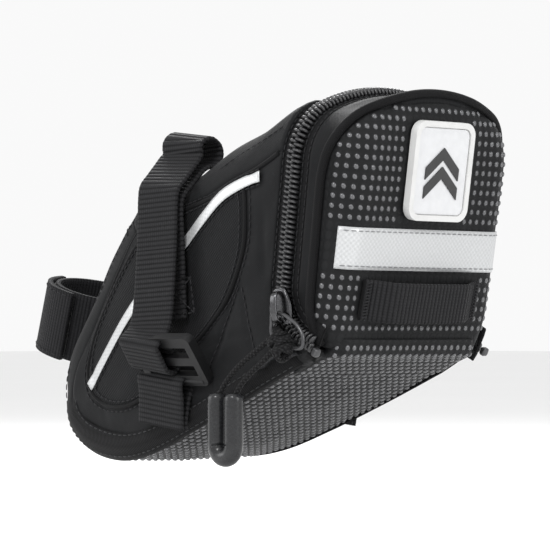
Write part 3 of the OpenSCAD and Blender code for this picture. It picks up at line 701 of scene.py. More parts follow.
def across(p, n, r, w, crown, d=0.0):
    """Points across a wrapped panel at one station: a round corner, the flat with its crown, a corner."""
    e, h = max(r - d, 0.6), w - d
    rows = []
    for a in np.radians(np.linspace(0, 90, 8, endpoint=False)):
        q = p + n * (d + e * (1 - math.sin(a)))
        rows.append((q[0], e * (1 - math.cos(a)) - h, q[1]))
    right = [(x, -y, z) for x, y, z in rows[::-1]]
    for f in np.linspace(-1, 1, 16):
        q = p + n * (d - crown * (1 - f * f))
        rows.append((q[0], f * (h - e), q[1]))
    return np.array(rows + right)


def station_row(i):
    """Points across the wrapped panels at one step of the outline."""
    return across(LINE[i, :2], DOWN[i], LINE[i, 2], float(side_w(LINE[i, 0])), LINE[i, 3])


def shell(a, b, d=0.0, puff=0.0, first=None):
    """Rows of a wrapped panel between two of the outline's points, drawn in by d and pressed out by puff."""
    rows = []
    for i in range(a * STEP, b * STEP + 1):
        x, z, r, crown = LINE[i]
        t = (i / STEP - a) / (b - a)
        soft = puff * math.sin(math.pi * t) ** 0.7
        rows.append(across(np.array([x, z]), DOWN[i], r, float(side_w(x)), crown + soft, d))
    if first is not None:
        rows.insert(0, first)
    return np.array(rows)


def wrinkle(points, amount, seed):
    """Low soft waves, so that no panel is perfectly even."""
    x, y, z = points[..., 0], points[..., 1], points[..., 2]
    wave = (np.sin(x * 0.19 + seed) * np.sin(y * 0.23 + 2 * seed)
            + 0.6 * np.sin(x * 0.41 - z * 0.33 + 3 * seed) + 0.4 * np.sin(y * 0.61 + z * 0.21 + seed))
    n = unit(np.cross(np.gradient(points, axis=0), np.gradient(points, axis=1)))
    fade = np.zeros(points.shape[:2])
    fade[1:-1, 1:-1] = 1
    for _ in range(2):
        fade[1:-1, 1:-1] = (fade[:-2, 1:-1] + fade[2:, 1:-1] + fade[1:-1, :-2] + fade[1:-1, 2:]
                            + fade[1:-1, 1:-1]) / 5
    return points + n * (wave * amount * fade)[..., None]


def pips(name, points, uv, keep):
    """Raised dots in straight rows over a sheet, placed by its own flat coordinates."""
    n, m = points.shape[:2]
    flat, sheet = points.reshape(-1, 3), uv.reshape(-1, 2)
    tri = [(a, b, c) for a, b, c, d in grid_faces(n, m)] + [(a, c, d) for a, b, c, d in grid_faces(n, m)]
    table = BVHTree.FromPolygons([Vector((x, y, 0)) for x, y in sheet], tri)
    du, dv = np.gradient(points, axis=1), np.gradient(points, axis=0)
    normal = unit(np.cross(du, dv)).reshape(-1, 3)
    if np.sum(normal * (flat - BAG_MIDDLE)) < 0:
        normal = -normal
    rows = unit(du).reshape(-1, 3)
    rings = ((1.06, -0.08), (0.98, 0.12), (0.82, 0.3), (0.5, 0.42), (0.2, 0.46))
    sides = 10
    a = np.linspace(0, 2 * math.pi, sides, endpoint=False)
    verts, faces = [], []

    find = lambda x, y: table.ray_cast(Vector((x, y, 1)), Vector((0, 0, -1)))[2]
    lo_u, hi_u = sheet[:, 0].min(), sheet[:, 0].max()
    lo_v, hi_v = sheet[:, 1].min(), sheet[:, 1].max()
    for j in range(int(lo_v // PIP_V), int(hi_v // PIP_V) + 1):
        for i in range(int(lo_u // PIP_U), int(hi_u // PIP_U) + 1):
            x, y = (i + 0.5) * PIP_U, (j + 0.5) * PIP_V
            k = find(x, y)
            if k is None or None in (find(x - 1, y), find(x + 1, y), find(x, y - 1), find(x, y + 1)):
                continue
            ids = list(tri[k])
            q = sheet[ids]
            w = np.linalg.solve(np.vstack([q.T, np.ones(3)]), np.array([x, y, 1]))
            c, up, e = w @ flat[ids], unit(w @ normal[ids]), unit(w @ rows[ids])
            if not keep(c):
                continue
            f = np.cross(up, e)
            faces += tube_faces(len(verts), len(rings), sides)
            for size, h in rings:
                verts += [c + size * (PIP_A * math.cos(t) * e + PIP_B * math.sin(t) * f) + h * up for t in a]
    return make(name, world(np.array(verts)), faces, None, [M["dots"]])


first = across(np.array([51.95, 19.1]), np.array([0, -1.0]), 16.2, float(side_w(52)), 3.2)
roof = wrinkle(shell(0, 6, 0, 0.8, first), 0.34, 1.0)
nose = wrinkle(shell(6, 12, 0, 0.9), 0.32, 2.0)
bottom = wrinkle(shell(12, 18, 0, 0.6), 0.16, 3.0)
bottom_uv = flat_uv(bottom)
panel("roof_fabric", roof, "smooth", CLOTH_T, "bag", "roof_panel")
panel("nose_fabric", nose, "smooth", CLOTH_T, "bag", "nose_panel")
panel("bottom_fabric", bottom, "pips", CLOTH_T, "bag", "bottom_panel",
      bottom_uv / 1000)
part(pips("bottom_pips", bottom, bottom_uv, lambda c: c[0] < HINGE_X), "bag")

for name, a, b in (("nose_board", 7, 12), ("bottom_board", 13, 17)):
    o = thick(grid(name + "_foam", shell(a, b, BOARD_IN)[:, 7:-7], [M["foam"]]), 1.0)
    part(o, "bag", name)


# -------------------- the zip's path
def zip_rows(rho, d, n_foot=15, n_arch=14):
    """A line along the zip at radius rho from the foot's centre and depth d inside the side plane."""
    pts = []
    stations = [("run", TAIL_RUN * (1 - k / 3)) for k in range(3)]
    for kind, value in stations + [("arc", a) for a in np.linspace(TAIL_ANGLE, 180, n_foot)]:
        a = math.radians(TAIL_ANGLE if kind == "run" else value)
        e = np.array([math.cos(a), math.sin(a)])
        r = rho(math.degrees(a)) if callable(rho) else rho
        q = TAIL_C + r * e + (value * np.array([-e[1], e[0]]) if kind == "run" else 0)
        pts.append((q[0], -(HALF_W - d), q[1]))
    r = rho(180) if callable(rho) else rho
    x = TAIL_C[0] - r
    over = [(x, y, z) for y, z in arch(d, TAIL_Z, n_arch)[1:-1]]
    return np.array(pts + over + [(px, -py, pz) for px, py, pz in pts[::-1]])


def tail_out(a):
    """Outer radius of the body's half of the tape at an angle round the zip's foot."""
    return TAIL_R + TEETH_W + 0.9 + (TAPE_W - 0.9) * max(0, (TAIL_ANGLE - a) / (TAIL_ANGLE - 180))


# Columns of the tapes: radius from the foot's centre, depth inside the side plane.
BODY_TAPE = ((TAIL_R + 0.1, 0.9), (TAIL_R + 1.5, 0.8), (lambda a: 0.5 * (TAIL_R + 1.5 + tail_out(a)), 0.75),
             (tail_out, 0.95), (lambda a: tail_out(a) + 1.6, 1.5))
LID_TAPE = ((TAIL_R - 5.9, 1.3), (TAIL_R - 5.4, 0.95), (TAIL_R - 3.4, 0.75), (TAIL_R - 1.5, 0.8),
            (TAIL_R - 0.1, 0.9))


def teeth(name, sign, shift):
    """Moulded coil: one rounded loop every pitch, from the middle of the zip outward."""
    base = zip_rows(TAIL_R, 0.8, 24, 30)
    edge = zip_rows(TAIL_R + sign, 0.8, 24, 30)
    s = lengths(base)
    places = np.arange(shift + 1.2, s[-1] - 1.2, TOOTH)
    b = along(base, s, places)
    lat = unit(along(edge, s, places) - b)
    t = unit(along(base, s, places + 0.4) - along(base, s, places - 0.4))
    n = np.cross(t, lat)
    out = b - np.array([60.0, 0, -30])
    out[:, 0] = 0
    n *= np.sign(np.sum(n * out, 1, keepdims=True))
    # Along the tooth: distance from the middle of the zip, half width, half height, height of its middle.
    rings = [(-0.42, 0.26, 0.38, 1.15), (-0.2, 0.46, 0.74, 1.2), (0.3, 0.56, 1.02, 1.28),
             (1.0, 0.5, 1.04, 1.26), (1.8, 0.5, 0.98, 1.12), (2.3, 0.46, 0.84, 0.9), (2.62, 0.26, 0.42, 0.6)]
    sides = 10
    a = np.linspace(0, 2 * math.pi, sides, endpoint=False)
    verts, faces = [], []
    lean = 0.16 * sign
    for i in range(len(places)):
        faces += tube_faces(len(verts), len(rings), sides)
        for dist, hw, hh, mid in rings:
            c = b[i] + lat[i] * dist + n[i] * mid + t[i] * lean * dist
            for an in a:
                verts.append(c + t[i] * hw * math.cos(an) + n[i] * hh * math.sin(an))
    return make(name, world(np.array(verts)), faces, None, [M["teeth"]])


for name, body, columns in (("body_zip", "bag", BODY_TAPE), ("lid_zip", "lid", LID_TAPE)):
    rows = np.stack([zip_rows(r, d) for r, d in columns], 1)
    part(thick(grid(name + "_tape_fabric", rows, [M["tape"]]), 0.9), body, name + "_tape")
for name, body, sign, shift in (("body_zip", "bag", 1, 0), ("lid_zip", "lid", -1, TOOTH / 2)):
    part(teeth(name + "_coil", sign, shift), body, name + "_teeth")


def with_normals(line, centre):
    """A line with outward normals, away from a line through the middle of the bag."""
    line = np.asarray(line, float)
    n = line - np.asarray(centre, float)
    t = unit(np.gradient(line, axis=0))
    return line, unit(n - np.sum(n * t, 1, keepdims=True) * t)


def zip_stitch(rho, d):
    """A row of stitches along the zip, with its normals."""
    line = zip_rows(rho, d, 20, 16)[2:-2]
    n = np.zeros_like(line)
    n[:, 1] = line[:, 1]
    n[:, 2] = np.maximum(0, line[:, 2] - ARCH_B)
    return line, unit(n)


for name, body, lines in (
        ("body", "bag", [zip_stitch(TAIL_R + 3.1, 0.62), zip_stitch(lambda a: tail_out(a) - 0.5, 0.62)]),
        ("lid", "lid", [zip_stitch(TAIL_R - 3.1, 0.62), zip_stitch(TAIL_R - 5.1, 0.7)])):
    part(stitches(name + "_zip_stitching", lines, M["thread"], 2.2, 1.7, 0.2), body)

# -------------------- side panels
INNER = LINE[:, :2] + DOWN * LINE[:, 2:3]
# Corners of the panel: places along the outline's points, and where the zip's tape covers it.
TOP_V, FRONT_V, END_V, END_X, TAPE_X, TAPE_Z = 9.0, 11.6, 18, 66.3, 51.95, 3.7
NU, NV = 66, 36
SLANT = math.tan(math.radians(10))
STRAP_HELD, STRAP_LOW = 7.5, -50
SIM_FRAMES, SIM_SCALE, SIDE_PUFF = 20, 100, 2.1


def station(v):
    """The seam line's place in X and Z at a place along the outline's points."""
    return along(INNER, np.arange(len(INNER)), v * STEP)


top_edge = np.array([station(v) for v in np.linspace(TOP_V, 0, 73)] + [(TAPE_X, TAPE_Z)])
front_edge = np.array([station(v) for v in np.linspace(TOP_V, FRONT_V, 21)])
low_edge = np.array([station(v) for v in np.linspace(FRONT_V, END_V, 60)])
low_edge = low_edge[low_edge[:, 0] <= END_X]
foot = [tuple(TAIL_C + ring_points(tail_out(a), math.radians(a))) for a in np.linspace(184, 249, 20)]
rear_edge = np.array([(TAPE_X, z) for z in np.linspace(TAPE_Z, TAIL_Z, 20)] + foot + [tuple(low_edge[-1])])
T, B = resample(top_edge, NU), resample(low_edge, NU)
L, R = resample(front_edge, NV), resample(rear_edge, NV)
u, v = np.meshgrid(np.linspace(0, 1, NU), np.linspace(0, 1, NV))
u, v = u[..., None], v[..., None]
patch = ((1 - v) * T[None] + v * B[None] + (1 - u) * L[:, None] + u * R[:, None]
         - ((1 - u) * (1 - v) * T[0] + u * (1 - v) * T[-1] + (1 - u) * v * B[0] + u * v * B[-1]))
SIDE = np.stack([patch[..., 0], -side_w(patch[..., 0]), patch[..., 1]], -1)


def puffed(points, cap):
    """The panel under its padding's pressure, held along its border and under the sewn strap."""
    n, m = points.shape[:2]
    rest = points.reshape(-1, 3)
    o = make("panel_sim", rest / SIM_SCALE, grid_faces(n, m))
    w = world(rest) * 1000
    strap_x = -w[:, 2] * SLANT
    under = (np.abs(w[:, 0] - strap_x) < STRAP_HELD) & (w[:, 2] > STRAP_LOW)
    border = np.zeros((n, m), bool)
    border[0] = border[-1] = border[:, 0] = border[:, -1] = True
    held = o.vertex_groups.new(name="held")
    held.add([int(i) for i in np.nonzero(border.ravel() | under)[0]], 1.0, "REPLACE")
    mod = o.modifiers.new("cloth", "CLOTH")
    c = mod.settings
    c.quality = 6
    c.mass = 0.3
    c.tension_stiffness = c.compression_stiffness = 8
    c.shear_stiffness = 4
    c.bending_stiffness = 0.4
    c.vertex_group_mass = "held"
    c.use_pressure = True
    c.uniform_pressure_force = 4
    c.effector_weights.gravity = 0
    mod.point_cache.frame_start, mod.point_cache.frame_end = 1, SIM_FRAMES
    for f in range(1, SIM_FRAMES + 1):
        bpy.context.scene.frame_set(f)
    ev = o.evaluated_get(bpy.context.evaluated_depsgraph_get())
    out = np.array([v.co for v in ev.data.vertices]) * SIM_SCALE
    bpy.data.objects.remove(o)
    bpy.context.scene.frame_set(1)
    move = np.abs(out[:, 1] - rest[:, 1])
    top = np.percentile(move, 98) or 1.0
    move = cap * np.clip(move / top, 0, 1)
    result = rest.copy()
    result[:, 1] -= move
    return result.reshape(n, m, 3)


def creased(points, lines, depth, width):
    """Presses shallow folds into the panel along lines in the side view."""
    flat = points.reshape(-1, 3).copy()
    p2 = flat[:, [0, 2]]
    for a, b, k in lines:
        a, b = np.array(a, float), np.array(b, float)
        t = np.clip(((p2 - a) @ (b - a)) / ((b - a) @ (b - a)), 0, 1)
        d = np.linalg.norm(p2 - (a + t[:, None] * (b - a)), axis=1)
        flat[:, 1] += k * depth * np.exp(-(d / width) ** 2) * np.clip(4 * t * (1 - t) + 0.25, 0, 1)
    return flat.reshape(points.shape)


def finer(points):
    """Twice the grid's resolution, on smooth curves."""
    rows = np.stack([curve(r, 2) for r in points])
    return np.stack([curve(rows[:, j], 2) for j in range(rows.shape[1])], 1)


swollen = puffed(SIDE, SIDE_PUFF)
fine = wrinkle(finer(swollen), 0.2, 6.0)
CREASES = [((40, -36), (29, -64), 1), ((40, -36), (49, -58), 0.8), ((20, -58), (46, -50), 0.5),
           ((46, -14), (49, -34), 0.7), ((-34, -58), (-18, -88), 0.35), ((28, 0), (46, -8), 0.5)]
fine = creased(fine, CREASES, 0.7, 1.5)
inset_middle = np.array([4.0, -46.0])
INSET = np.array([[36, -8], [22, -13], [6, -19], [-8, -27], [-20, -43], [-29, -62], [-30, -74], [-22, -80],
                  [-8, -79], [4, -72], [14, -62], [26, -52], [36, -40], [40, -24]], float)
inset_edge = closed_curve(INSET, 6)[:-1]
tree = BVHTree.FromPolygons([Vector(p) for p in fine.reshape(-1, 3)], grid_faces(*fine.shape[:2]))


def on_side(p2, lift):
    """Points of the side view laid on the left panel, lifted off it, with the normals there."""
    pts, normals = [], []
    for x, z in np.asarray(p2, float).reshape(-1, 2):
        hit, normal, _, _ = tree.ray_cast(Vector((x, -60, z)), Vector((0, 1, 0)))
        if hit is None:
            hit, normal, _, _ = tree.find_nearest(Vector((x, -float(side_w(x)), z)))
            hit = Vector((x, hit.y, z))
        if normal.y > 0:
            normal = -normal
        pts.append(np.array(hit) + np.array(normal) * lift)
        normals.append(np.array(normal))
    return np.array(pts), np.array(normals)


def mirrored(o, name):
    """The same piece on the right side."""
    me = o.data.copy()
    flip = np.array([v.co for v in me.vertices])
    flip[:, 1] *= -1
    me.vertices.foreach_set("co", flip.ravel())
    me.flip_normals()
    q = bpy.data.objects.new(name, me)
    link(q)
    for m in o.modifiers:
        k = q.modifiers.new(m.name, m.type)
        for key in ("thickness", "offset", "material_offset", "material_offset_rim"):
            setattr(k, key, getattr(m, key))
    return q


def both(o, base, node=None):
    """Names a left-hand piece, makes its twin, and puts both on the bag."""
    o.name = "left_" + base
    for side, q in (("left", o), ("right", mirrored(o, "right_" + base))):
        part(q, "bag", node and f"{side}_{node}")


uv = np.stack([fine[..., 0], fine[..., 2]], -1) / 1000
side = thick(grid("side", fine, [M["smooth"], M["lining"]], uv), CLOTH_T, lining=True)
both(side, "side_fabric", "side_panel")

# The coarser panel, its piping, the reflective stripe and the seams on each side.
ring = np.vstack([inset_edge, inset_edge[:1]])
cells = np.array([inset_middle + (ring - inset_middle) * f * 0.985 for f in np.linspace(0, 1, 22)])
pts, _ = on_side(cells, 0.45)
pts = pts.reshape(*cells.shape[:2], 3)
inset = thick(grid("inset", pts, [M["ribbed"]], cells / 1000), 0.4)
bm = bmesh.new()
bm.from_mesh(inset.data)
bmesh.ops.remove_doubles(bm, verts=bm.verts, dist=1e-6)
bmesh.ops.dissolve_degenerate(bm, dist=1e-7, edges=bm.edges)
bm.to_mesh(inset.data)
bm.free()
both(inset, "inset_fabric", "inset_panel")
loop = np.vstack([inset_edge, inset_edge[:2]])
pts, normals = on_side(loop, 0.12)
pipe = sweep("inset_pipe", pts[:-1], (0, 1, 0), round_section(0.75, 10), M["piping"], caps=False)
both(pipe, "inset_piping_cord", "inset_piping")

reflector = np.array([[44, -4.5], [36, -7.5], [28, -12], [20, -19.5], [10, -29], [0, -39.5], [-11, -52.5],
                      [-20, -64.5], [-28, -76]], float)
line = resample(curve(reflector, 8), step=1.2)
t2 = unit(np.gradient(line, axis=0))
n2 = np.stack([-t2[:, 1], t2[:, 0]], -1)
cols = np.stack([line + n2 * w for w in np.linspace(-1.6, 1.6, 6)], 1)
pts, _ = on_side(cols, 1.05)
stripe = thick(grid("stripe", pts.reshape(*cols.shape[:2], 3), [M["reflective"]]), 0.3)
both(stripe, "reflector_tape", "reflector")

seams = [on_side(line + n2 * w, 0.62) for w in (-2.3, 2.3)]
for size, lift in ((0.95, 0.62), (1.05, 0.1)):
    seams.append(on_side((inset_middle + (loop - inset_middle) * size)[:-1], lift))
for a, b in (((39.5, -37), (28.5, -63)), ((40.5, -37), (49, -57))):
    seams.append(on_side(np.linspace(a, b, 24), 0.1))
o = stitches("seams", seams, M["thread"], 2.4, 1.8, 0.2)
both(o, "panel_stitching")


# Binding over the lower edge, with its two rows of stitches.
def binding_rows(full):
    """The tape's points across, at each step of the lower seam."""
    rows = []
    i0, i1 = 10 * STEP + 4, 18 * STEP - 4
    for i in range(i0, i1 + 1):
        lift = full * min(1, 0.12 + (i - i0) / 7, 0.3 + (i1 - i) / 4)
        x, z, r, _ = LINE[i]
        n = INWARD[i]
        w = float(side_w(x))
        p = np.array([x, z])
        row = []
        for k, f in ((1.9, 0.35), (1.7, 0.85), (1.2, 1.0), (0.6, 1.05)):
            q = p + n * (r + k)
            row.append(np.array([q[0], -w - lift * f, q[1]]))
        for a in np.radians(np.linspace(0, 68, 8)):
            e = r + lift
            q = p + n * (-lift + e * (1 - math.sin(a)))
            row.append(np.array([q[0], e * (1 - math.cos(a)) - w - lift, q[1]]))
        rows.append(row)
    return np.array(rows)


rows = binding_rows(0.95)
o = thick(grid("binding", rows, [M["binding"]]), 0.6)
both(o, "seam_binding_tape", "seam_binding")
lines = [with_normals(row, row * [1, 0, 1] + np.array([0, 8, 0])) for row in (rows[1:-1, 2], rows[1:-1, 9])]
o = stitches("binding_stitches", lines, M["thread_light"], 2.5, 1.6, 0.2)
both(o, "binding_stitching")

# Topstitching beside the roof and nose seams.
line = np.array([station_row(i)[3] for i in range(2, 11 * STEP)])
line = with_normals(line, line * [1, 0, 1] + np.array([6, 4, -8]))
o = stitches("edge_stitches", [line], M["thread"], 2.6, 1.9, 0.17)
both(o, "edge_stitching")
pipe_line = np.array([station_row(i)[0] for i in range(0, 11 * STEP + 4)])
o = sweep("edge_pipe", pipe_line + [0, 0.15, 0], (0, 1, 0), round_section(0.85, 10), M["piping"])
both(o, "edge_piping")

lines = []
for i in (6 * STEP - 3, 6 * STEP + 3):
    row = station_row(i)[2:-2]
    x, z = LINE[i, :2] + 20 * DOWN[i]
    lines.append(with_normals(row, row * [0, 0.6, 0] + [x, 0, z]))
o = stitches("roof_seam_stitching", lines, M["thread"], 2.6, 1.9, 0.2)
part(o, "bag")

# -------------------- the lid
FOOT_Z = -51.2
FACE_W = HALF_W - 0.2


def seam_x(z):
    """Where the lid's seam lies along X at a height."""
    return SEAM_X + 8.5 * np.clip((np.asarray(z, float) + 4) / 26, 0, 1) ** 1.6


def rear_w(z):
    """Half the width of the rear face at a height."""
    z = np.asarray(z, float)
    return FACE_W - np.where(z > -38, 0, 4.2 * ((-38 - z) / 13) ** 2)


# The gusset between the zip and the rear face.
gus = arch(0.2, TAIL_Z, 14)
low = np.linspace(-43.2, TAIL_Z, 10, endpoint=False)
path = [(gus[0][0], z) for z in low] + list(map(tuple, gus)) + [(gus[-1][0], z) for z in low[::-1]]
rows = []
for y, z in path:
    dz = max(0.0, TAIL_Z - z)
    x0 = TAIL_C[0] - math.sqrt(max(0.0, (TAIL_R - 5.6) ** 2 - dz ** 2))
    x1 = float(seam_x(z)) + 0.6
    x0 = min(x0, x1 - 0.3)
    inward = unit(np.array([y if z < ARCH_B + 3 else y * 0.35, max(0.0, z - ARCH_B + 3) + 0.01]))
    row = []
    for f in np.linspace(0, 1, 10):
        sag = 0.75 * math.sin(math.pi * f) + 0.5 * (1 - f) ** 6
        q = np.array([y, z]) - inward * sag
        row.append((x0 + (x1 - x0) * f, q[0], q[1]))
    rows.append(row)
panel("lid_gusset_fabric", wrinkle(np.array(rows), 0.2, 4.0), "smooth", 1.6, "lid",
      "lid_gusset")


REAR_FINE = curve(REAR, 10)
order = np.argsort(REAR_FINE[:, 1])
face_x = lambda z: np.interp(z, REAR_FINE[order, 1], REAR_FINE[order, 0])
face_r = lambda z: np.interp(z, REAR_FINE[order, 1], REAR_FINE[order, 2])


def rear_surface(y, z, lift=0.0):
    """The lid's face: flat in the middle, rounded off to the seam all round."""
    y, z = np.asarray(y, float), np.asarray(z, float)
    w, a = rear_w(z), np.abs(y)
    inner = w - a
    corner = ARCH_R - 0.2 - np.hypot(np.maximum(a - ARCH_A, 0), np.maximum(z - ARCH_B, 0))
    crown = CROWN_R - 0.2 - np.hypot(a, z - CROWN_Z)
    d = np.minimum(inner, np.where((z > ARCH_B) & (a > ARCH_A), corner, 99))
    d = np.maximum(np.minimum(d, np.where(z > ARCH_B, crown, 99)), 0)
    r = np.maximum(face_r(z), 3.2)
    depth = np.where(z > -38, np.maximum(face_x(z) - seam_x(z), 0.8), face_r(z) + 0.4)
    q = np.clip(1 - d / r, 0, 1)
    x = face_x(z) - depth * (1 - np.sqrt(np.maximum(1 - q * q, 0)))
    p = np.stack([x, y, z], -1)
    if lift:
        ny = np.sign(y) * q * (inner <= corner)
        n = unit(np.stack([np.sqrt(np.maximum(1 - q * q, 0)) + 1e-3, ny, np.zeros_like(q)], -1))
        p = p + n * lift
    unroll = np.sign(y) * (a + r * (np.arcsin(q) - q))
    return p, unroll


f = np.sin(np.pi / 2 * np.linspace(-1, 1, 73))
f = 0.45 * f + 0.55 * np.sign(f) * (1 - (1 - np.abs(f)) ** 1.25)
f = f / f[-1]
rows, uvs = [], []
for s in 1 - (1 - np.linspace(0, 1, 66)) ** 1.15:
    z = FOOT_Z + (arch_top(f * FACE_W) - 0.2 - FOOT_Z) * s
    y = f * rear_w(z)
    p, un = rear_surface(y, z)
    rows.append(p)
    uvs.append(np.stack([un, z], -1) / 1000)
rows, uvs = wrinkle(np.array(rows), 0.12, 5.0), np.array(uvs)
panel("rear_fabric", rows, "pips", CLOTH_T, "lid", "rear_panel", uvs)


def bare(c):
    """Where the rear face shows: clear of the band, the badge and the stitched ends of the loop."""
    y, z = abs(c[1]), c[2]
    under_band = -29.1 < z < -14.8
    under_badge = y < 13.3 and -13.8 < z < 16.8
    under_loop = y < 25.6 and -43.4 < z < -29.6
    return z > -47.6 and not (under_band or under_badge or under_loop)


part(pips("rear_pips", rows, uvs * 1000, bare), "lid")

y, z = np.meshgrid(np.linspace(-25, 25, 30), np.linspace(-43, 13, 30))
y = y * np.clip((21 - z) / 10, 0.4, 1)
p3, _ = rear_surface(y, z)
board = thick(grid("lid_board_foam", p3 - [2.1, 0, 0], [M["foam"]]), 1.4)
part(board, "lid", "lid_board")

# Piping along the lid's seam, run on down beside the foot of the rear panel.
pipe = arch(-1, -38, 16)
tail = [(-(float(rear_w(z)) + 1.0), z) for z in np.linspace(-50.5, -39, 9)]
pipe = np.array(tail + list(map(tuple, pipe)) + [(-y, z) for y, z in tail[::-1]])
px = seam_x(pipe[:, 1]) + np.clip((-40 - pipe[:, 1]) / 11, 0, 1) ** 1.5 * 2.2
line = resample(np.stack([px, pipe[:, 0], pipe[:, 1]], -1), step=1.0)
o = sweep("lid_piping_cord", line, (1, 0, 0), round_section(1.28, 14), M["piping"])
part(o, "lid", "lid_piping")

# Reflective band with its stitches, and the webbing loop for a lamp.
t = np.linspace(-1, 1, 60)
t = np.sign(t) * (1 - (1 - np.abs(t)) ** 1.3)
bw = FACE_W - CLOTH_T
band = np.array([rear_surface(t * bw, np.full_like(t, z), 0.55)[0] for z in np.linspace(-28.0, -15.8, 9)])
o = thick(grid("reflective_band_tape", band, [M["reflective"]]), 0.45)
part(o, "lid", "reflective_band")
lines = []
for z in (-27.0, -16.8):
    line = rear_surface(t * (bw - 0.8), np.full_like(t, z), 0.6)[0]
    lines.append(with_normals(line, line - [10, 0, 0] + line * [0, -0.3, 0]))
o = stitches("reflective_band_stitching", lines, M["thread_silver"], 2.3, 1.6, 0.17)
part(o, "lid")

lean = math.radians(6.5)
out, up = np.array([math.cos(lean), 0, -math.sin(lean)]), np.array([math.sin(lean), 0, math.cos(lean)])
loop_c = np.array([77.2, 0, -36.5])
path = [(1.1, -24.2), (1.15, -22.5), (1.6, -21), (3.6, -17.8), (4.9, -15.8), (5.5, -13), (5.75, -6), (5.8, 0)]
path = curve(path + [(a, -b) for a, b in path[-2::-1]], 5)
line = loop_c + path[:, :1] * out + path[:, 1:] * np.array([0, 1.0, 0])
o = sweep("light_loop_webbing", line, up, strap_section(12, 1.35), M["webbing"], ribs=True)
part(o, "lid", "light_loop")
tacks = []
for sy in (-1, 1):
    for k in np.linspace(-5, 5, 12):
        a = loop_c + out * 1.95 + up * k + np.array([0, sy * 24.0, 0])
        b = loop_c + out * 2.1 + up * (k + 0.45) + np.array([0, sy * 22.0, 0])
        tacks.append((np.array([a, b]), np.array([out, out])))
o = stitches("light_loop_stitching", tacks, M["thread"], 2.2, 2.0, 0.2)
part(o, "lid")


# Textured wrap that carries the rear fabric on round the lid's hinge to the bottom.
path = curve([(61, -60.1, 31.6), (64, -58.45, 32.0), (67, -56.75, 32.3), (70, -55.1, 32.3),
              (72.6, -54.1, 32.0), (74.6, -53.4, 31.3), (75.75, -52.2, 30.8), (76.25, -50.4, 30.4),
              (76.55, -48.3, 30.2)], 4)
cols = np.linspace(-1, 1, 45)
fall = np.clip((path[:, 1] + 60) / 8, 0, 1)
rows = np.array([[(x - 4.2 * k * max(0.0, (abs(c) - 0.86) / 0.14) ** 2, c * w, z) for c in cols]
                 for (x, z, w), k in zip(path, fall)])
dist = lengths(path[:, :2])
uv = np.stack(np.broadcast_arrays(cols[None] * path[:, 2:3], (dist - dist[-1] - 48.3)[:, None]), -1) / 1000
wrap = grid("hinge_wrap_fabric", rows, [M["pips"], M["lining"]], uv, away=(60, 0, -20))
applied(thick(wrap, 0.8, lining=True))
wrap = join("hinge_wrap_fabric", [wrap, pips("wrap_pips", rows, uv * 1000, lambda c: True)])
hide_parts("hinge_strip")
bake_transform(wrap)

# -------------------- rail straps, buckles and tabs
STRAP_W, STRAP_T, RAIL_Y, RAIL_R = 17.0, 1.35, 22, 4.32
BUCKLE = np.array([10.0, -36.0, -69.0])
TILT = math.radians(35)
b_up = np.array([0, -math.sin(TILT), math.cos(TILT)])
b_out = np.array([0, -math.cos(TILT), -math.sin(TILT)])


def strap_line(path):
    """A strap's middle line from places in Y and Z, slanting to the rear as it goes down."""
    p = curve(path, 6)
    x = np.clip(-p[:, 1] * SLANT, -0.5, 10.0)
    return resample(np.stack([x, p[:, 0], p[:, 1]], -1), step=0.9)


loop = (ring_points(RAIL_R, np.radians(np.linspace(-100, 176, 16))) + [-RAIL_Y, 0]).tolist()
upper = [(-34.95, -50.8), (-34.95, -40), (-34.95, -28), (-34.95, -18), (-33.9, -13.6), (-29.5, -9.2),
         (-25.6, -5.7)]
outer = [(-26.55, -1.6), (-29.2, -4.6), (-33, -8.4), (-35.9, -11.4), (-37, -15), (-37.6, -22), (-38.3, -30)]
line = strap_line(upper + loop + outer)
webbing = strap_section(STRAP_W, STRAP_T)
o = sweep("strap_upper", line, (1, 0, 0), webbing, M["webbing"], ribs=True)
both(o, "rail_strap_webbing", "rail_strap")


def at_buckle(h, n):
    """Y and Z of a place on the buckle: h up its plate, n out from it."""
    q = BUCKLE + b_up * h + b_out * n
    return (q[1], q[2])


THREADED = ((15.6, 2.1), (13.4, 2.5), (10, 2.4), (7.2, 2.3), (5.1, 1.2), (4.2, -0.9), (5.4, -2.2),
            (8.5, -2.5), (12.5, -2.5))
line = strap_line([(-38.3, -30), (-39.0, -36), (-39.9, -43), (-40.9, -49), (-42.6, -53.5)]
                  + [at_buckle(h, n) for h, n in THREADED])
low_strap = sweep("strap_lower", line, (1, 0, 0), webbing, M["webbing"], ribs=True)
low_strap.name = "left_strap_fold"
low_right = mirrored(low_strap, "right_strap_fold")
for q, side, sy in ((low_strap, "left", 1), (low_right, "right", -1)):
    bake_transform(q)

tab = [(-35.3, -82.2), (-35.4, -78), (-34.7, -72.5), (-33.7, -69.6), (-34.5, -67.0), (-36.4, -66.3),
       (-38.3, -67.4), (-38.6, -69.6), (-37.7, -73), (-37.1, -78), (-36.7, -82.4)]
p2 = curve(tab, 6)
line = resample(np.stack([np.full(len(p2), 12.0), p2[:, 0], p2[:, 1]], -1), step=0.8)
o = sweep("tab", line, (1, 0, 0), strap_section(19.6, 1.15), M["webbing"], ribs=True)
both(o, "buckle_tab_webbing", "buckle_tab")

tacks = []
box = [(x * 6.8, z) for x, z in ((-1, -49.4), (1, -49.4), (1, -38.8), (-1, -38.8), (-1, -49.4), (1, -38.8),
                                 (-1, -38.8), (1, -49.4))]
for (xa, za), (xb, zb) in zip(box, box[1:]):
    ends = [np.array([-zz * SLANT + k, -35.72, zz]) for k, zz in ((xa, za), (xb, zb))]
    tacks.append((np.array(ends), np.array([[0, -1.0, 0]] * 2)))
both(stitches("tack", tacks, M["thread"], 2.1, 1.6, 0.22, metres), "strap_bartack", "strap_patch")

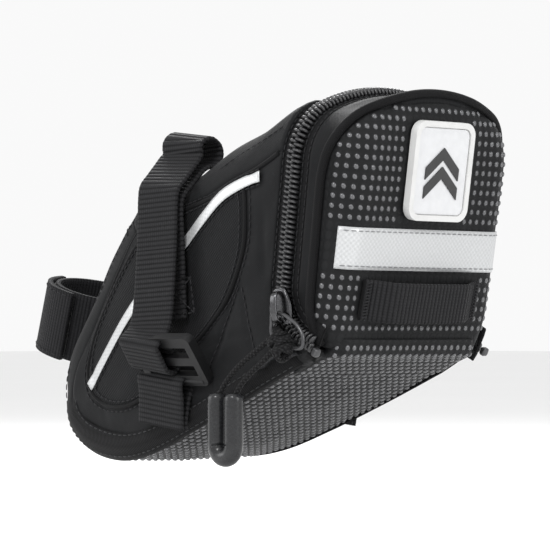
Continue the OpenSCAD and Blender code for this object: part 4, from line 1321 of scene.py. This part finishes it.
# -------------------- the strap round the seatpost
POST = np.array([-69.5, 0, -52.0])
LEAN = math.radians(16)


def post(p):
    """From the seatpost's frame in millimetres to the CAD's frame in metres."""
    p = np.asarray(p, float)
    c, s = math.cos(LEAN), math.sin(LEAN)
    q = np.stack([p[..., 0] * c + p[..., 2] * s, p[..., 1], p[..., 2] * c - p[..., 0] * s], -1)
    return (q + POST) / 1000


def band_sheet(name, radius, a0, a1, half, mat, t, extra=None):
    """A band round the post between two angles; extra gives the arms' end at each height."""
    cols = []
    for h in np.linspace(-half, half, 14):
        arc = ring_points(radius, np.radians(np.linspace(a0, a1, 60))).tolist()
        if extra:
            x1 = extra(h)
            ya = abs(arc[0][1]) + 0.1
            arm = [(x, ya) for x in np.linspace(x1, arc[0][0] + 0.4, 8)]
            arc = arm + arc + [(x, -ya) for x, _ in arm[::-1]]
        cols.append([(x, y, h) for x, y in arc])
    rows = np.array(cols).transpose(1, 0, 2)
    return thick(grid(name, rows, [mat], None, away=(0, 0, 0), place=post), t)


HALF = 11.0
arms = lambda h: 14.2 + (h + HALF) / (2 * HALF) * 6.3
for name, radius, a0, a1, half, mat, t, extra, body, node in (
        ("seatpost_strap_webbing", 15.1, 48, 312, HALF, "post_webbing", 1.35, arms, "bag", "seatpost_strap"),
        ("loop_pile_patch", 15.85, 195, 285, HALF - 1, "fuzzy", 0.65, None, "bag", "strap_loop_patch"),
        ("strap_flap_webbing", 17.9, 188, 286, HALF, "post_webbing", 1.7, None, "strap_flap", "strap_flap")):
    part(band_sheet(name, radius, a0, a1, half, M[mat], t, extra), body, node)
for name, body, radius, a0, a1, n in (("strap_flap", "strap_flap", 17.92, 190, 284, 40),
                                      ("seatpost_strap", "bag", 15.12, 52, 182, 50)):
    lines = []
    for h in (-HALF + 1.2, HALF - 1.2):
        turn = np.radians(np.linspace(a0, a1, n))
        line = np.column_stack([ring_points(radius, turn), np.full(n, h)])
        lines.append((line, unit(line * [1, 1, 0])))
    part(stitches(name + "_stitching", lines, M["thread"], 2.6, 1.9, 0.2, place=post), body)


# -------------------- the CAD's own moulded parts, the slider and its ring
def finish_node(node, mat, bevel):
    """Gives a CAD node its material and rounds its edges."""
    o = frame["nodes"][node]
    for slot in o.material_slots:
        slot.material = mat
    if not o.material_slots:
        o.data.materials.append(mat)
    o.modifiers.new("weld", "WELD").merge_threshold = 1e-5
    m = o.modifiers.new("bevel", "BEVEL")
    m.width = bevel / 1000
    m.segments = 3
    m.limit_method = "ANGLE"
    m.angle_limit = math.radians(30)
    m.harden_normals = True


SLIDER = np.array([59.8, -37.4, -41.0])
SL = math.radians(12)


def on_slider(q):
    """From the slider's own frame in millimetres to the CAD's frame in metres."""
    q = np.asarray(q, float)
    x = q[..., 0] * math.cos(SL) - q[..., 2] * math.sin(SL)
    z = q[..., 0] * math.sin(SL) + q[..., 2] * math.cos(SL)
    return world(np.stack([x, q[..., 1], z], -1) + SLIDER)


ring_pts = closed_curve([[-2.0, 5.4], [0, 5.7], [2.0, 5.4], [3.6, 2.6], [4.3, 0], [4.3, -3], [3.7, -5.3],
                         [2.2, -5.1], [1.1, -3.9], [0, -2.9], [-1.1, -3.9], [-2.2, -5.1], [-3.7, -5.3],
                         [-4.3, -3], [-4.3, 0], [-3.6, 2.6]], 5)[:-1]
centre = np.array([0, 0.4])
layers = ((0.0, 0.96), (-0.12, 1.0), (-0.75, 1.0), (-1.05, 0.965), (-1.2, 0.88), (-1.27, 0.74), (-1.3, 0.5),
          (-1.31, 0.25))
verts = [(x, y, z) for y, f in layers for x, z in centre + (ring_pts - centre) * f]
plate = make("plate", on_slider(verts), tube_faces(0, len(layers), len(ring_pts)), None, [M["metal"]])
rim = np.array([[x, -1.02, z] for x, z in centre + (ring_pts - centre) * 0.9])
rim = np.vstack([rim, rim[:2]])
edge = sweep("rim", rim[:-1], (0, 1, 0), round_section(0.3, 8), M["metal"], on_slider, caps=False)
o = join("slider_plate", [plate, edge])
part(o, "slider", "slider_body")
path = curve([(-1.1, -4.3), (-2.2, -4.2), (-3.2, -3.5), (-3.62, -2.2), (-3.68, 0), (-3.62, 2.2), (-3.2, 3.5),
              (-2.2, 4.2), (-1.1, 4.3)], 5)
line = np.stack([np.zeros(len(path)), path[:, 0], path[:, 1]], -1)
o = sweep("slider_bridge", line, (1, 0, 0), strap_section(2.3, 0.85, 4), M["metal"], on_slider)
part(o, "slider", "slider_bail")
wire = closed_curve([[-1.7, 0], [-2.3, -0.7], [-2.1, -3], [-1.6, -6.2], [1.8, -9.4], [6.5, -9.2],
                     [10.6, -8.6], [11.2, -6.6], [10.4, -4.4], [7.8, -2.1], [4.4, -0.6], [2.4, -0.05],
                     [1.2, 0], [-0.4, 0]], 8)
line = np.stack([60.2 + wire[:, 0], np.full(len(wire), -39.6), -42.7 + wire[:, 1]], -1)
o = sweep("pull_ring_wire", line, (0, 1, 0), round_section(0.56, 12), M["dark_metal"], caps=False)
part(o, "pull", "pull_ring")

for node, mat, bevel in (
        ("badge", "badge", 0.5), ("badge_plate", "plate", 0.1), ("badge_mark", "mark", 0.12),
        ("zip_stops", "dark_metal", 0.7), ("left_buckle", "plastic", 0.45),
        ("right_buckle", "plastic", 0.45)):
    finish_node(node, M[mat], bevel)
